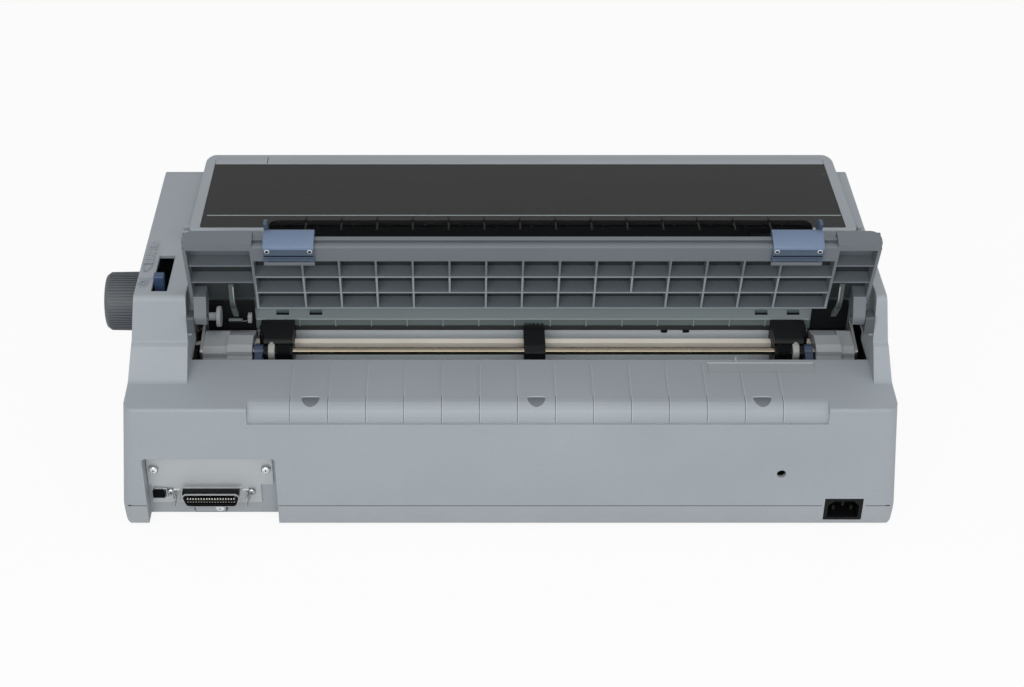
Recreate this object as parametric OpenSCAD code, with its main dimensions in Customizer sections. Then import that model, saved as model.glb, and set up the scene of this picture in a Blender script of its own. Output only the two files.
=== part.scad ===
// Wide-carriage dot matrix printer with a raised rear paper guide.
// Millimetres. X runs to the knob side, +Y to the rear with the tractor, +Z up.

/* [Housing] */
// Width of the housing at the parting line
body_w = 611.6; // [590:0.1:640]
// Depth of the housing from front to rear
body_d = 402; // [390:0.5:430]
// Wall thickness of the mouldings
wall = 3; // [2.2:0.1:3.6]
// Height of the rubber feet
foot_h = 3; // [2:0.5:6]
// Height of the parting line between the two halves of the housing
split_z = 21.8; // [19:0.1:24]
// Height of the rear edge of the shelf
shelf_z = 117; // [114:0.5:120]
// Height of the towers at their rear end
tower_z = 180; // [178:0.5:184]
// Outward lean of the side walls in degrees
draft = 5.7; // [4:0.1:7]
// Centre of the paper path, off the middle of the housing
path_x = -20; // [-22:0.5:-18]
// Width of the well between the two towers
well_w = 532; // [530:0.5:534]

/* [Cover] */
// Front-to-back length of the printer cover
cover_len = 136; // [120:0.5:138]
// Thickness of the smoked window
window_t = 2.5; // [2:0.1:3]
// Width of the frame strip beside the window
cover_rim = 8; // [6:0.5:12]

/* [Paper guide] */
// Length of the guide from its pivot to its upper edge
guide_len = 79; // [74:0.5:80]
// Depth of the ribs under the guide
guide_depth = 11.3; // [8:0.1:13]
// Lean of the raised guide from the horizontal in degrees
guide_tilt = 73; // [68:0.5:78]
// Spacing of the upright ribs
rib_pitch = 27.8; // [24:0.1:32]
// Thickness of the ribs
rib_t = 1.5; // [1.2:0.1:2.4]
// Width of one edge guide
edge_w = 38; // [30:0.5:44]

/* [Platen] */
// Radius of the rubber platen
platen_r = 16; // [14:0.1:16.5]
// Length of the rubber platen
platen_len = 460; // [440:1:464]
// Radius of the platen shaft
platen_shaft_r = 4; // [3:0.1:4.6]
// Height of the platen axis
platen_z = 118; // [117:0.1:119]
// Outer radius of the platen knob
knob_r = 24.3; // [20:0.1:26]
// Length of the platen knob
knob_len = 28.5; // [24:0.5:36]
// Number of flutes round the knob
knob_flutes = 60; // [40:2:72]
// Teeth of the platen gear
platen_teeth = 50; // [50:1:50]
// Teeth of the tractor gear
tractor_teeth = 38; // [38:1:38]
// Teeth of the feed pinion
pinion_teeth = 14; // [12:1:16]
// Width of the gears
gear_w = 7; // [5:0.5:8]

/* [Tractor] */
// Side of the square drive shaft
square_s = 6; // [5:0.1:7]
// Radius of the round guide shaft
rod_r = 3; // [2.4:0.1:3.4]
// Radius of the sprocket wheel under its pins
sprocket_r = 12.1; // [11:0.1:12.4]
// Number of pins on a sprocket wheel
sprocket_pins = 6; // [5:1:8]
// Width of one sprocket unit
unit_w = 31; // [28:0.5:33]
// Distance from the paper centre to the outer side of a sprocket unit
unit_reach = 223.5; // [221:0.5:224]

/* [Carriage] */
// Radius of the main carriage shaft
carriage_shaft_r = 6; // [5:0.1:7]
// Radius of the front guide rail
rail_r = 4; // [3:0.1:5]
// Width of the carriage
carriage_w = 60; // [54:1:64]
// Radius of the belt pulleys
pulley_r = 7; // [6:0.1:8]
// Thickness of the timing belt
belt_t = 1.2; // [0.8:0.1:1.6]

/* [Rear connectors] */
// Width of the connector recess
recess_w = 103.6; // [100:0.1:106]
// Height of the top of the recess
recess_z = 69; // [66:0.5:74]
// Depth of the recess
recess_d = 13; // [11:0.5:14]
// Width of the parallel connector shell
parallel_w = 47.4; // [46:0.1:49]
// Width of the mains inlet flange
inlet_w = 30.4; // [28:0.1:32]
// Height of the mains inlet flange
inlet_h = 21.5; // [20:0.1:24]

/* [Fits] */
// Radial clearance of a running fit
run_gap = 0.05; // [0.03:0.01:0.08]
// Clearance between pieces that move past each other
move_gap = 0.5; // [0.35:0.05:0.8]
// Clearance round a piece that is pressed or screwed in place
seat_gap = 0.02; // [0.01:0.01:0.05]

/* [Hidden] */
$fn = 48;
eps = 0.01;
arc_steps = 6;

// Frame: the origin is the bottom centre of everything, the knob included
half_w = body_w/2;
rear_y = body_d/2;
front_y = -rear_y;
knob_gap = 1;
wall_x = half_w - (platen_z - split_z)*tan(draft);
knob_x0 = half_w - (platen_z - knob_r - split_z)*tan(draft) + knob_gap;
knob_x1 = knob_x0 + knob_len;
frame_x = (half_w - knob_x1)/2;

// Well between the towers
well_x = path_x + 4;
well_x0 = well_x - well_w/2;
well_x1 = well_x + well_w/2;
well_rear_y = rear_y - 59;
shelf_rise = 4.7;
tower_rear_y = rear_y - 61;
tower_foot_y = rear_y - 36.5;
slope_top = [-60, tower_z - 5.2];
slope_end = [front_y, 60];
slope_deg = atan2(slope_top[1] - slope_end[1], slope_top[0] - slope_end[0]);
bridge_y = slope_top[0] - 16;
skirt_z = platen_z + platen_shaft_r + 4;

// Platen and gear axes
platen_y = 54.6;
gear_m = 1;
mesh_d = gear_m*(platen_teeth + tractor_teeth)/2;
mesh_deg = -17.73;
drive_y = platen_y + mesh_d*cos(mesh_deg);
drive_z = platen_z + mesh_d*sin(mesh_deg);
pinion_deg = -100;
pinion_d = gear_m*(platen_teeth + pinion_teeth)/2;
pinion_y = platen_y + pinion_d*cos(pinion_deg);
pinion_z = platen_z + pinion_d*sin(pinion_deg);
rod_y = drive_y + 19;
rod_z = drive_z + 6.4;
plate_t = 2;
plate_x1 = well_x1 - 4;
plate_x0 = well_x0 + 4;
gear_x = well_x1 + 4;
block_gap = 0.4;

// ---------------------------------------------------------------- outlines
function unit_of(v) = v/norm(v);

// A corner [x, y, radius] of a closed outline, turned into the points of an arc
function corner(a, b, c) =
  let (p = [b[0], b[1]],
    u = unit_of([a[0], a[1]] - p),
    v = unit_of([c[0], c[1]] - p),
    half = acos(min(1, max(-1, u*v)))/2,
    mid = p + unit_of(u + v)*b[2]/sin(half),
    from = p + u*b[2]/tan(half) - mid,
    to = p + v*b[2]/tan(half) - mid,
    start = atan2(from[1], from[0]),
    turn = (atan2(to[1], to[0]) - start + 540)%360 - 180)
  [for (i = [0:arc_steps]) mid + b[2]*[cos(start + turn*i/arc_steps), sin(start + turn*i/arc_steps)]];

// A closed outline whose corners carry radii
function rounded(pts) =
  let (n = len(pts))
  [for (i = [0:n - 1]) each pts[i][2] == 0 ? [[pts[i][0], pts[i][1]]]
    : corner(pts[(i + n - 1)%n], pts[i], pts[(i + 1)%n])];

// The outline drawn inwards by d; anticlockwise outlines only
function inset(pts, d) =
  let (n = len(pts))
  [for (i = [0:n - 1])
    let (p = [pts[i][0], pts[i][1]],
      a = pts[(i + n - 1)%n],
      c = pts[(i + 1)%n],
      e1 = unit_of(p - [a[0], a[1]]),
      e2 = unit_of([c[0], c[1]] - p),
      n1 = [-e1[1], e1[0]],
      n2 = [-e2[1], e2[0]],
      turn = e1[0]*e2[1] - e1[1]*e2[0],
      q = p + (n1 + n2)*d/(1 + n1*n2))
    [q[0], q[1], pts[i][2] == 0 ? 0 : max(0, pts[i][2] - sign(turn)*d)]];

// A side outline [y, z] drawn out along X
module along_x(x0, x1, pts) {
  translate([x0, 0, 0])
    rotate([90, 0, 90])
      linear_extrude(x1 - x0)
        polygon(rounded(pts));
}

// A round bar or hole along X
module rod_x(x0, x1, y, z, r) {
  translate([x0, y, z])
    rotate([0, 90, 0])
      cylinder(r = r, h = x1 - x0);
}

// A round bar or hole along Y
module rod_y(x, y0, y1, z, r) {
  translate([x, y1, z])
    rotate([90, 0, 0])
      cylinder(r = r, h = y1 - y0);
}

module box(a, b) {
  translate(a)
    cube(b - a);
}

// A box with its upright edges rounded
module soft_box(a, b, r) {
  translate([0, 0, a[2]])
    linear_extrude(b[2] - a[2])
      polygon(rounded([[a[0], a[1], r], [b[0], a[1], r], [b[0], b[1], r], [a[0], b[1], r]]));
}

// Places children on the sloped front: x along the printer, y up the slope, z outwards
module on_slope(s) {
  translate([0, slope_top[0] - s*cos(slope_deg), slope_top[1] - s*sin(slope_deg)])
    rotate([slope_deg, 0, 0])
      children();
}

// ---------------------------------------------------------------- housing
function low_outline(foot, edge) = [[rear_y, foot, 0], [rear_y, shelf_z, edge],
  [well_rear_y, shelf_z + shelf_rise, 1.4], [-124, shelf_z + shelf_rise, 0],
  [slope_end[0], slope_end[1], 10], [front_y, foot, 0]];
shoulder_z = 143.5;
shelf_edge_r = 2.5;
roll_in = 1.4;
roll_h = 14;
roll_r = 12;
function tower_outline(foot, edge) = [[rear_y, foot, 0], [rear_y, shelf_z, edge],
  [rear_y - 32, shelf_z + 2.5, 6], [rear_y - 49, shoulder_z - 2, 3], [rear_y - 53, shoulder_z, 2],
  [tower_rear_y, tower_z, 5], [slope_top[0], slope_top[1], 22],
  [slope_end[0], slope_end[1], 10], [front_y, foot, 0]];

// Space between the two leaning side walls, drawn in by d
module between_sides(d, z0, z1) {
  lean0 = half_w - d - (z0 - split_z)*tan(draft);
  lean1 = half_w - d - (z1 - split_z)*tan(draft);
  translate([0, rear_y + 10, 0])
    rotate([90, 0, 0])
      linear_extrude(body_d + 20)
        polygon([[-lean0, z0], [lean0, z0], [lean1, z1], [-lean1, z1]]);
}

corner_r = 9;
// Rounds the leaning upright edges of the housing
module corner_cutter(side, end) {
  translate([side*half_w, end*rear_y, split_z])
    rotate([0, -side*draft, 0])
      difference() {
        translate([side > 0 ? -corner_r : -5, end > 0 ? -corner_r : -5, -30])
          cube([corner_r + 5, corner_r + 5, 220]);
        translate([-side*corner_r, -end*corner_r, -31])
          cylinder(r = corner_r, h = 222);
      }
}

// The outer form of the upper housing, drawn in by d and open below when it is a hollow
module housing_block(d) {
  edge = d > 0 ? roll_r + 4 : shelf_edge_r;
  low = inset(low_outline(split_z - 1.5*d, edge), d);
  tower = inset(tower_outline(split_z - 1.5*d, edge), d);
  intersection() {
    between_sides(d, split_z - 1.5*d, tower_z + 20);
    union() {
      along_x(-half_w, half_w, low);
      along_x(well_x1 + d, half_w, tower);
      along_x(-half_w, well_x0 - d, tower);
      intersection() {
        along_x(-half_w, half_w, tower);
        box([-half_w, front_y - 1, split_z - 2*d], [half_w, bridge_y, tower_z]);
      }
    }
  }
}

shelf_run = rear_y - well_rear_y;
shelf_deg = atan2(shelf_rise, shelf_run);
roll_x0 = path_x - unit_reach - 0.1;
roll_x1 = path_x + unit_reach - 1.6;
rib_count = 14;
shelf_rib_pitch = 29.07;
recess_x1 = half_w - 19.5;
recess_x0 = recess_x1 - recess_w;
recess_y = rear_y - recess_d;
panel_plate_t = 1.5;
inlet_x = -264.7;
inlet_z = 18.2;
lever_slot = [[265, 78.6], [277.5, 132]];
front_slot_x0 = -250;
front_slot_x1 = 250;
panel_x0 = 60;
panel_x1 = 236;
panel_s0 = 38;
panel_s1 = 88;
hood_s = 116;
switch_x = 274;
switch_z = 41;
switch_w = 20;
switch_h = 14;
switch_room = 1.2;
switch_pin_r = 1;
switch_pin_y = front_y + 5.5;

module shelf_frame() {
  translate([0, rear_y, shelf_z])
    rotate([-shelf_deg, 0, 0])
      children();
}

recess_back = recess_y - panel_plate_t - seat_gap;
panel_hole_x0 = recess_x0 + 17;
panel_hole_x1 = recess_x1 - 5;

module recess_cut() {
  translate([0, rear_y + 1, 0])
    rotate([90, 0, 0])
      linear_extrude(rear_y + 1 - recess_back)
        polygon(rounded([[recess_x0, 0, 0], [recess_x1, 0, 0], [recess_x1, recess_z, 2.5],
          [recess_x0, recess_z, 2.5]]));
}

module recess_shell() {
  difference() {
    box([recess_x0 - wall, recess_back - wall, split_z],
        [recess_x1 + wall, rear_y - 1, recess_z + wall]);
    recess_cut();
    box([panel_hole_x0, recess_back - 2*wall, split_z - 1], [panel_hole_x1, recess_y + 1, 62]);
  }
}

module upper_case() {
  color("#9da1a4")
    difference() {
      union() {
        difference() {
          housing_block(0);
          housing_block(wall);
          for (side = [-1, 1], end = [-1, 1]) corner_cutter(side, end);
        }
        recess_shell();
        shelf_ribs();
        lever_boss();
        cover_hooks();
        bracket_rails();
        hood_ears();
        switch_cheeks();
      }
      box([well_x0, bridge_y, platen_z], [well_x1, well_rear_y, tower_z + 20]);
      box([well_x0 - wall - 1, bridge_y, split_z], [well_x1 + wall + 1, 110, skirt_z]);
      recess_cut();
      box([inlet_x - inlet_w/2 - seat_gap, rear_y - wall - 2, split_z - 1],
        [inlet_x + inlet_w/2 + seat_gap, rear_y + 1, inlet_z + inlet_h/2 + seat_gap]);
      rod_x(wall_x - 14, wall_x + 8, platen_y, platen_z, platen_shaft_r + 2);
      translate([-212.4, rear_y + 1, 54.2])
        rotate([90, 0, 0])
          cylinder(r = 3.65, h = wall + 8);
      box([lever_slot[0][0], lever_slot[0][1], tower_z - 12],
          [lever_slot[1][0], lever_slot[1][1], tower_z + 5]);
      box([switch_x - switch_w/2 - move_gap, front_y - 1, switch_z - switch_h/2 - switch_room],
        [switch_x + switch_w/2 + move_gap, front_y + wall + 0.01, switch_z + switch_h/2 + switch_room]);
      front_opening();
      panel_opening();
      shelf_pockets();
      roll_cut();
      lever_ramp();
    }
}

// The dip that leads the finger into the release lever's slot
module lever_ramp() {
  along_x(lever_slot[0][0], lever_slot[1][0], [[lever_slot[0][1] - 22, tower_z, 0],
      [lever_slot[0][1] + 0.1, tower_z - 2.2, 0],
    [lever_slot[0][1] + 0.1, tower_z + 5, 0], [lever_slot[0][1] - 22, tower_z + 5, 0]]);
}

module lever_boss() {
  rod_x(lever_x1 + move_gap, wall_x - 1, lever_pivot[0], lever_pivot[1], 6);
  rod_x(lever_x0 - 1, wall_x - 1, lever_pivot[0], lever_pivot[1], lever_pin_r);
}

// Cheeks behind the front wall with the pins of the power switch
module switch_cheeks() {
  for (side = [-1, 1]) {
    face = switch_x + side*(switch_w/2 + move_gap);
    box([min(face, face + side*3), front_y + 1, switch_z - 5],
        [max(face, face + side*3), front_y + 9, switch_z + 5]);
    rod_x(min(face - side*2.5, face + side), max(face - side*2.5, face + side), switch_pin_y,
        switch_z, switch_pin_r);
  }
}

// Open hooks on the wings that the pins of the cover drop into
module cover_hooks() {
  for (x = [cover_x0 - hinge_pin_len - 1, cover_x1 + move_gap])
    difference() {
      box([x, cover_hinge_y - 6, wing_top(cover_hinge_y) - 2],
        [x + hinge_pin_len + 0.5, cover_hinge_y + 6, cover_hinge_z + 4]);
      rod_x(x - 1, x + hinge_pin_len + 2, cover_hinge_y, cover_hinge_z, hinge_pin_r + run_gap);
      box([x - 1, cover_hinge_y - hinge_pin_r - run_gap, cover_hinge_z],
        [x + hinge_pin_len + 2, cover_hinge_y + hinge_pin_r + run_gap, cover_hinge_z + 8]);
    }
}

// Ears and pins inside the front wall for the lugs of the front cover
module hood_ears() {
  for (x = hood_lugs) {
    for (e = [x - 4.5, x + hood_lug_w + 0.5])
      box([e, front_y + 1, hood_hinge_z - 4], [e + 4, front_y + 9, hood_hinge_z + 3]);
    rod_x(x - 2, x + hood_lug_w + 2, hood_hinge_y, hood_hinge_z, hood_pin_r);
  }
}

module hood_notches() {
  for (x = hood_lugs)
    difference() {
      box([x - 0.5, front_y - 1, hood_hinge_z - 6.2], [x + hood_lug_w + 0.5, front_y + wall + 8, 36]);
      rod_x(x - 2, x + hood_lug_w + 2, hood_hinge_y, hood_hinge_z, hood_pin_r);
    }
}

module front_opening() {
  hood_notches();
  box([front_slot_x0, front_y - 1, 33], [front_slot_x1, front_y + wall + 20, 60]);
  on_slope(hood_s)
    translate([front_slot_x0, -90, -wall - 3])
      cube([front_slot_x1 - front_slot_x0, 90, wall + 8]);
}

module panel_opening() {
  on_slope(panel_s1)
    translate([panel_x0 + 6, 6, -wall - 3])
      cube([panel_x1 - panel_x0 - 12, panel_s1 - panel_s0 - 12, wall + 8]);
}

function rib_x(i) = path_x + (i - (rib_count - 1)/2)*shelf_rib_pitch;
module shelf_ribs() {
  for (i = [0:rib_count - 1])
    shelf_frame()
      translate([rib_x(i) - 0.6, 4 - shelf_run, -1])
        cube([1.2, shelf_run - 12, 1.4]);
}

module shelf_pockets() {
  for (k = [-1:1])
    translate([path_x + k*173.3, rear_y - 8, shelf_z - 2.2])
      cylinder(r = 5.2, h = 10);
}

// The rounded rear lip that the paper rolls over, set a little in from the wall
roll_outline = [[rear_y - 40, shelf_z - 30, 0], [rear_y - roll_in, shelf_z - 30, 0],
  [rear_y - roll_in, shelf_z + roll_in*shelf_rise/shelf_run, roll_r],
  [rear_y - 40, shelf_z + 40*shelf_rise/shelf_run, 0]];

module roll_cut() {
  difference() {
    box([roll_x0, rear_y - roll_r - 4, shelf_z - roll_h], [roll_x1, rear_y + 1, shelf_z + 6]);
    along_x(roll_x0 - 1, roll_x1 + 1, roll_outline);
  }
}

pan_z = 12;
foot_xy = [[-250, -165], [250, -165], [-250, 150], [250, 150]];
boss_xy = [[-255, -120], [-255, 80], [-20, -120], [-20, 80], [225, -120], [225, 80]];

module tray_block(d) {
  half_low = half_w - d;
  intersection() {
    along_x(-half_w, half_w, inset([[front_y, foot_h, 9], [rear_y, foot_h, 2],
      [rear_y, split_z + 1.5*d, 0], [front_y, split_z + 1.5*d, 0]], d));
    translate([0, rear_y, 0])
      rotate([90, 0, 0])
        linear_extrude(body_d)
          polygon(rounded([[-half_low + 3, foot_h + d, 6], [half_low - 3, foot_h + d, 6],
            [half_low, split_z, 0], [half_low, split_z + d, 0],
            [-half_low, split_z + d, 0], [-half_low, split_z, 0]]));
  }
}

module lower_case() {
  color("#989ca0")
    difference() {
      union() {
        difference() {
          tray_block(0);
          tray_block(wall);
          for (side = [-1, 1], end = [-1, 1]) corner_cutter(side, end);
        }
        intersection() {
          tray_block(0);
          box([recess_x0 - wall, recess_back - wall, 0], [recess_x1 + wall, rear_y, split_z]);
        }
        for (p = boss_xy)
          translate([p[0], p[1], foot_h + 1])
            cylinder(r = 7, h = pan_z - foot_h - 1);
      }
      recess_cut();
      box([panel_hole_x0, recess_back - wall - 1, 16], [panel_hole_x1, recess_y + 1, split_z + 1]);
      box([inlet_x - inlet_w/2 - seat_gap, rear_y - wall - 2, inlet_z - inlet_h/2 - seat_gap],
        [inlet_x + inlet_w/2 + seat_gap, rear_y + 1, split_z + 1]);
    }
}

foot_r = 10;
module rubber_feet() {
  color("#2b2c2e")
    for (p = foot_xy)
      translate([p[0], p[1], 0])
        cylinder(r = foot_r, h = foot_h);
}

// ---------------------------------------------------------------- covers
cover_rear_y = 54;
cover_front_y = cover_rear_y - cover_len;
cover_x0 = well_x0 + 2;
cover_x1 = well_x1 + 6.5;
cover_rear_z = 187.2;
cover_deg = 3.2;
cover_t = 3;
cover_hinge_z = 181;
cover_hinge_y = cover_rear_y - 4;
hinge_pin_r = 2.4;
hinge_pin_len = 4.5;
exit_x0 = path_x - 225;
exit_x1 = path_x + 213.5;
exit_len = 16;

function cover_top(y) = cover_rear_z - (cover_rear_y - y)*tan(cover_deg);
function wing_top(y) = tower_z - (tower_rear_y - y)*(tower_z - slope_top[1])/(tower_rear_y - slope_top[0]);
function slope_at(y) = slope_top[1] - (slope_top[0] - y)*tan(slope_deg);

// The shallow dish of the cover, drawn in by d
module cover_dish(d) {
  intersection() {
    along_x(cover_x0 + d, cover_x1 - d, [[cover_rear_y - d, 140, 0],
      [cover_rear_y - d, cover_top(cover_rear_y) - d, d > 0 ? 0 : 2],
      [cover_front_y + d, cover_top(cover_front_y) - d, d > 0 ? 2 : 5],
      [cover_front_y + d, 140, 0]]);
    translate([0, 0, 100])
      linear_extrude(120)
        polygon(rounded([[cover_x0 + d, cover_front_y + d, 16], [cover_x1 - d, cover_front_y + d, 16],
          [cover_x1 - d, cover_rear_y - d, 3], [cover_x0 + d, cover_rear_y - d, 3]]));
  }
}

// What lies under the cover: the wings of the housing and a running gap
module under_cover() {
  y0 = cover_front_y - 5;
  y1 = cover_rear_y + 5;
  along_x(cover_x0 - 1, cover_x1 + 1, [[y1, 100, 0], [y1, wing_top(y1) + move_gap, 0],
    [slope_top[0], slope_top[1] + move_gap, 0], [y0, slope_at(y0) + 2*move_gap, 0], [y0, 100, 0]]);
}

module exit_notch(t) {
  translate([0, 0, 150])
    linear_extrude(60)
      polygon(rounded([[exit_x0 + t, cover_rear_y - exit_len + t, 8],
          [exit_x1 - t, cover_rear_y - exit_len + t, 8],
        [exit_x1 - t, cover_rear_y + 9, 0], [exit_x0 + t, cover_rear_y + 9, 0]]));
}

window_x0 = cover_x0 + cover_rim;
window_x1 = cover_x1 - cover_rim;
window_y0 = cover_front_y + 9;
window_y1 = cover_rear_y - 3;

module window_prism(grow) {
  translate([0, 0, 150])
    linear_extrude(60)
      polygon(rounded([[window_x0 - grow, window_y0 - grow, 5], [window_x1 + grow, window_y0 - grow, 5],
        [window_x1 + grow, window_y1 + grow, 2], [window_x0 - grow, window_y1 + grow, 2]]));
}

module cover_slab(top, t) {
  translate([0, cover_rear_y, cover_rear_z - top])
    rotate([cover_deg, 0, 0])
      translate([cover_x0 - 5, -cover_len - 10, -t])
        cube([cover_x1 - cover_x0 + 10, cover_len + 20, t]);
}

module printer_cover() {
  color("#8f9498")
    difference() {
      union() {
        difference() {
          cover_dish(0);
          cover_dish(cover_t);
          under_cover();
          box([well_x1 - 1, cover_hinge_y - 3.5, 100],
              [cover_x1 + 1, cover_rear_y + 1, cover_hinge_z + 1.5]);
        }
        rod_x(cover_x0 - hinge_pin_len, cover_x0 + 1, cover_hinge_y, cover_hinge_z, hinge_pin_r);
        rod_x(well_x1 - 2, cover_x1 + hinge_pin_len, cover_hinge_y, cover_hinge_z, hinge_pin_r);
        box([path_x + 50, cover_front_y - 1, cover_top(cover_front_y) - 9],
          [path_x + 236, cover_front_y + 1, cover_top(cover_front_y) - 5]);
      }
      window_prism(seat_gap);
      exit_notch(0);
    }
}

module cover_window() {
  color("#444647", 0.75)
    difference() {
      intersection() {
        window_prism(0);
        cover_slab(0.4, window_t);
      }
      exit_notch(0);
    }
}

module exit_strip() {
  color("#6b6863")
    difference() {
      union() {
        intersection() {
          box([window_x0 + 4, 30, 150], [window_x1 - 4, cover_rear_y - 4, 200]);
          cover_slab(0.4 + window_t + seat_gap, 2);
          window_prism(0);
        }
        for (i = [0:rib_count])
          translate([path_x + (i - rib_count/2)*29, 31, 178])
            cube([1.6, exit_len/2, 4]);
      }
      exit_notch(0);
    }
}

roller_r = 5.5;
roller_y = cover_rear_y - 4.5;
roller_z = 168;
roller_shaft_r = 2.5;

module tension_roller() {
  color("#1c1d1f") {
    rod_x(exit_x0 + 6, exit_x1 - 6, roller_y, roller_z, roller_r - 1);
    rod_x(plate_x0 + 0.3, plate_x1 - 0.3, roller_y, roller_z, roller_shaft_r);
    for (i = [0:rib_count])
      if (abs(i - rib_count/2) < 7.4)
        rod_x(path_x - 5.5 + (i - rib_count/2)*29 - 11, path_x - 5.5 + (i - rib_count/2)*29 + 11,
          roller_y, roller_z, roller_r);
  }
}

hood_hinge_y = front_y + 4;
hood_hinge_z = 30;
hood_t = 3;
hood_pin_r = 1.6;
hood_lug_w = 6;
hood_lugs = [front_slot_x0 + 12, 0, front_slot_x1 - 18];

module front_cover() {
  x0 = front_slot_x0 + move_gap;
  x1 = front_slot_x1 - move_gap;
  top_y = slope_top[0] - hood_s*cos(slope_deg) - move_gap*cos(slope_deg);
  color("#9da1a4") {
    along_x(x0, x1, [[front_y, 35.5, 0], [front_y + hood_t, 35.5, 0],
        [front_y + hood_t, 60 - hood_t*0.35, 8],
      [top_y + hood_t*sin(slope_deg), slope_at(top_y) - hood_t*cos(slope_deg), 0],
      [top_y, slope_at(top_y), 0], [front_y, 60, 10]]);
    for (x = hood_lugs)
      difference() {
        box([x, front_y, hood_hinge_z - 4], [x + hood_lug_w, front_y + 8, 38]);
        rod_x(x - 1, x + hood_lug_w + 1, hood_hinge_y, hood_hinge_z, hood_pin_r + run_gap);
      }
  }
}

button_w = 20;
button_h = 9;
button_travel = 1.5;
button_rise = 2;
panel_t = 3;
button_pitch = 30;
panel_mid = (panel_s0 + panel_s1)/2;

function button_x(i) = panel_x0 + 26 + (i - 1)*button_pitch;

module control_panel() {
  color("#7d8286")
    on_slope(panel_mid)
      difference() {
        translate([panel_x0, -(panel_s1 - panel_s0)/2, seat_gap])
          soft_box([0, 0, 0], [panel_x1 - panel_x0, panel_s1 - panel_s0, panel_t], 5);
        for (i = [1:5])
          translate([button_x(i) - button_w/2 - move_gap, -16 - move_gap, -1])
            cube([button_w + 2*move_gap, button_h + 2*move_gap, panel_t + 2]);
        for (i = [1:5])
          translate([button_x(i), 4, -1])
            cylinder(r = 1.5, h = panel_t + 2);
      }
}

module panel_button(i) {
  color("#c7cacc")
    on_slope(panel_mid) {
      translate([button_x(i) - button_w/2, -16, -2])
        cube([button_w, button_h, panel_t + button_rise + 2]);
      translate([button_x(i) - button_w/2 - 1.5, -17.5, -3])
        cube([button_w + 3, button_h + 3, 2.6 - move_gap]);
    }
}

module panel_button_1() { panel_button(1); }
module panel_button_2() { panel_button(2); }
module panel_button_3() { panel_button(3); }
module panel_button_4() { panel_button(4); }
module panel_button_5() { panel_button(5); }

module power_switch() {
  x0 = switch_x - switch_w/2;
  x1 = switch_x + switch_w/2;
  color("#2a2b2d")
    difference() {
      along_x(x0, x1, [[front_y + 8, switch_z - switch_h/2, 0], [front_y + 8, switch_z + switch_h/2, 0],
        [front_y + 1, switch_z + switch_h/2, 0], [front_y + 2.4, switch_z, 0],
        [front_y + 2.6, switch_z - switch_h/2, 0]]);
      for (x = [x0 - 1, x1 - 2.5])
        rod_x(x, x + 3.5, switch_pin_y, switch_z, switch_pin_r + run_gap);
    }
}

// ---------------------------------------------------------------- paper guide
guide_x0 = well_x0 + 5.5;
guide_x1 = well_x1 - 3.7;
mid_x0 = path_x - 223.6;
mid_x1 = path_x + 214;
pivot_y = tower_rear_y;
pivot_z = tower_z - 20;
pivot_r = 2.5;
guide_slide = 60;
rib_m = 7.2;
skin_m = rib_m + guide_depth;
skin_t = 2.5;
rib_s = [3, 21.8, 40.5];
rail_s = 59.3;
end_rib_s = [33, 52.5];
cheek_s = 9;
leg_w = 9.5;
guide_ribs = 14;
guide_rib_mid = path_x - 3;

// The guide's own frame: x across, y up the guide from its pivot, z towards its smooth side
module guide_frame() {
  translate([0, pivot_y, pivot_z])
    rotate([guide_tilt, 0, 0])
      children();
}

module guide_end(x_in, x_out) {
  out = sign(x_out - x_in);
  xa = min(x_in, x_out);
  xb = max(x_in, x_out);
  translate([0, guide_len, 0])
    rotate([90, 0, 0])
      linear_extrude(7)
        polygon(rounded([[x_in, rib_m, 0], [x_out, rib_m, 2], [x_out, skin_m + skin_t, 8],
          [x_in, skin_m + skin_t, 0]]));
  for (s = end_rib_s)
    box([xa, s, rib_m + 1], [xb, s + rib_t, skin_m + 1]);
  box([xa, rib_s[0], skin_m], [xb, guide_len - 2, skin_m + skin_t]);
  box([out > 0 ? xb - skin_t : xa, cheek_s, rib_m], [out > 0 ? xb : xa + skin_t, guide_len - 4,
      skin_m]);
  box([out > 0 ? xa : xb - 2, rib_s[0], rib_m], [out > 0 ? xa + 2 : xb, guide_len - 4, skin_m]);
  difference() {
    along_x(out > 0 ? xb - 2.5 - leg_w : xa + 2.5, out > 0 ? xb - 2.5 : xa + 2.5 + leg_w,
      [[-5, -5, 4.9], [5, -5, 4.9], [cheek_s + 8, rib_m, 3], [cheek_s + 8, skin_m + 1, 0],
          [2, skin_m + 1, 3],
      [-5, 4, 4]]);
    rod_x(xa - 1, xb + 1, 0, 0, pivot_r + run_gap);
  }
}

module paper_guide() {
  color("#6f777f")
    guide_frame() {
      box([mid_x0, rib_s[0], skin_m], [mid_x1, rail_s + 1, skin_m + skin_t]);
      difference() {
        along_x(mid_x0, mid_x1, [[rail_s, rib_m, 1], [guide_len - 3, rib_m, 1.5],
          [guide_len - 3, skin_m, 1.5], [rail_s, skin_m + skin_t, 0]]);
        box([mid_x0 - 1, guide_len - 5, rib_m + 3.5], [mid_x1 + 1, guide_len, rib_m + 7]);
      }
      for (s = rib_s)
        box([mid_x0, s, rib_m], [mid_x1, s + rib_t, skin_m + 1]);
      for (i = [0:guide_ribs - 1]) {
        x = guide_rib_mid + (i - (guide_ribs - 1)/2)*rib_pitch;
        low = (i == 4 || i == guide_ribs - 5) ? rib_s[1] : rib_s[0];
        box([x - rib_t/2, low, rib_m], [x + rib_t/2, rail_s + 1, skin_m + 1]);
      }
      guide_end(mid_x1, guide_x1);
      guide_end(mid_x0, guide_x0);
    }
}

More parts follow.
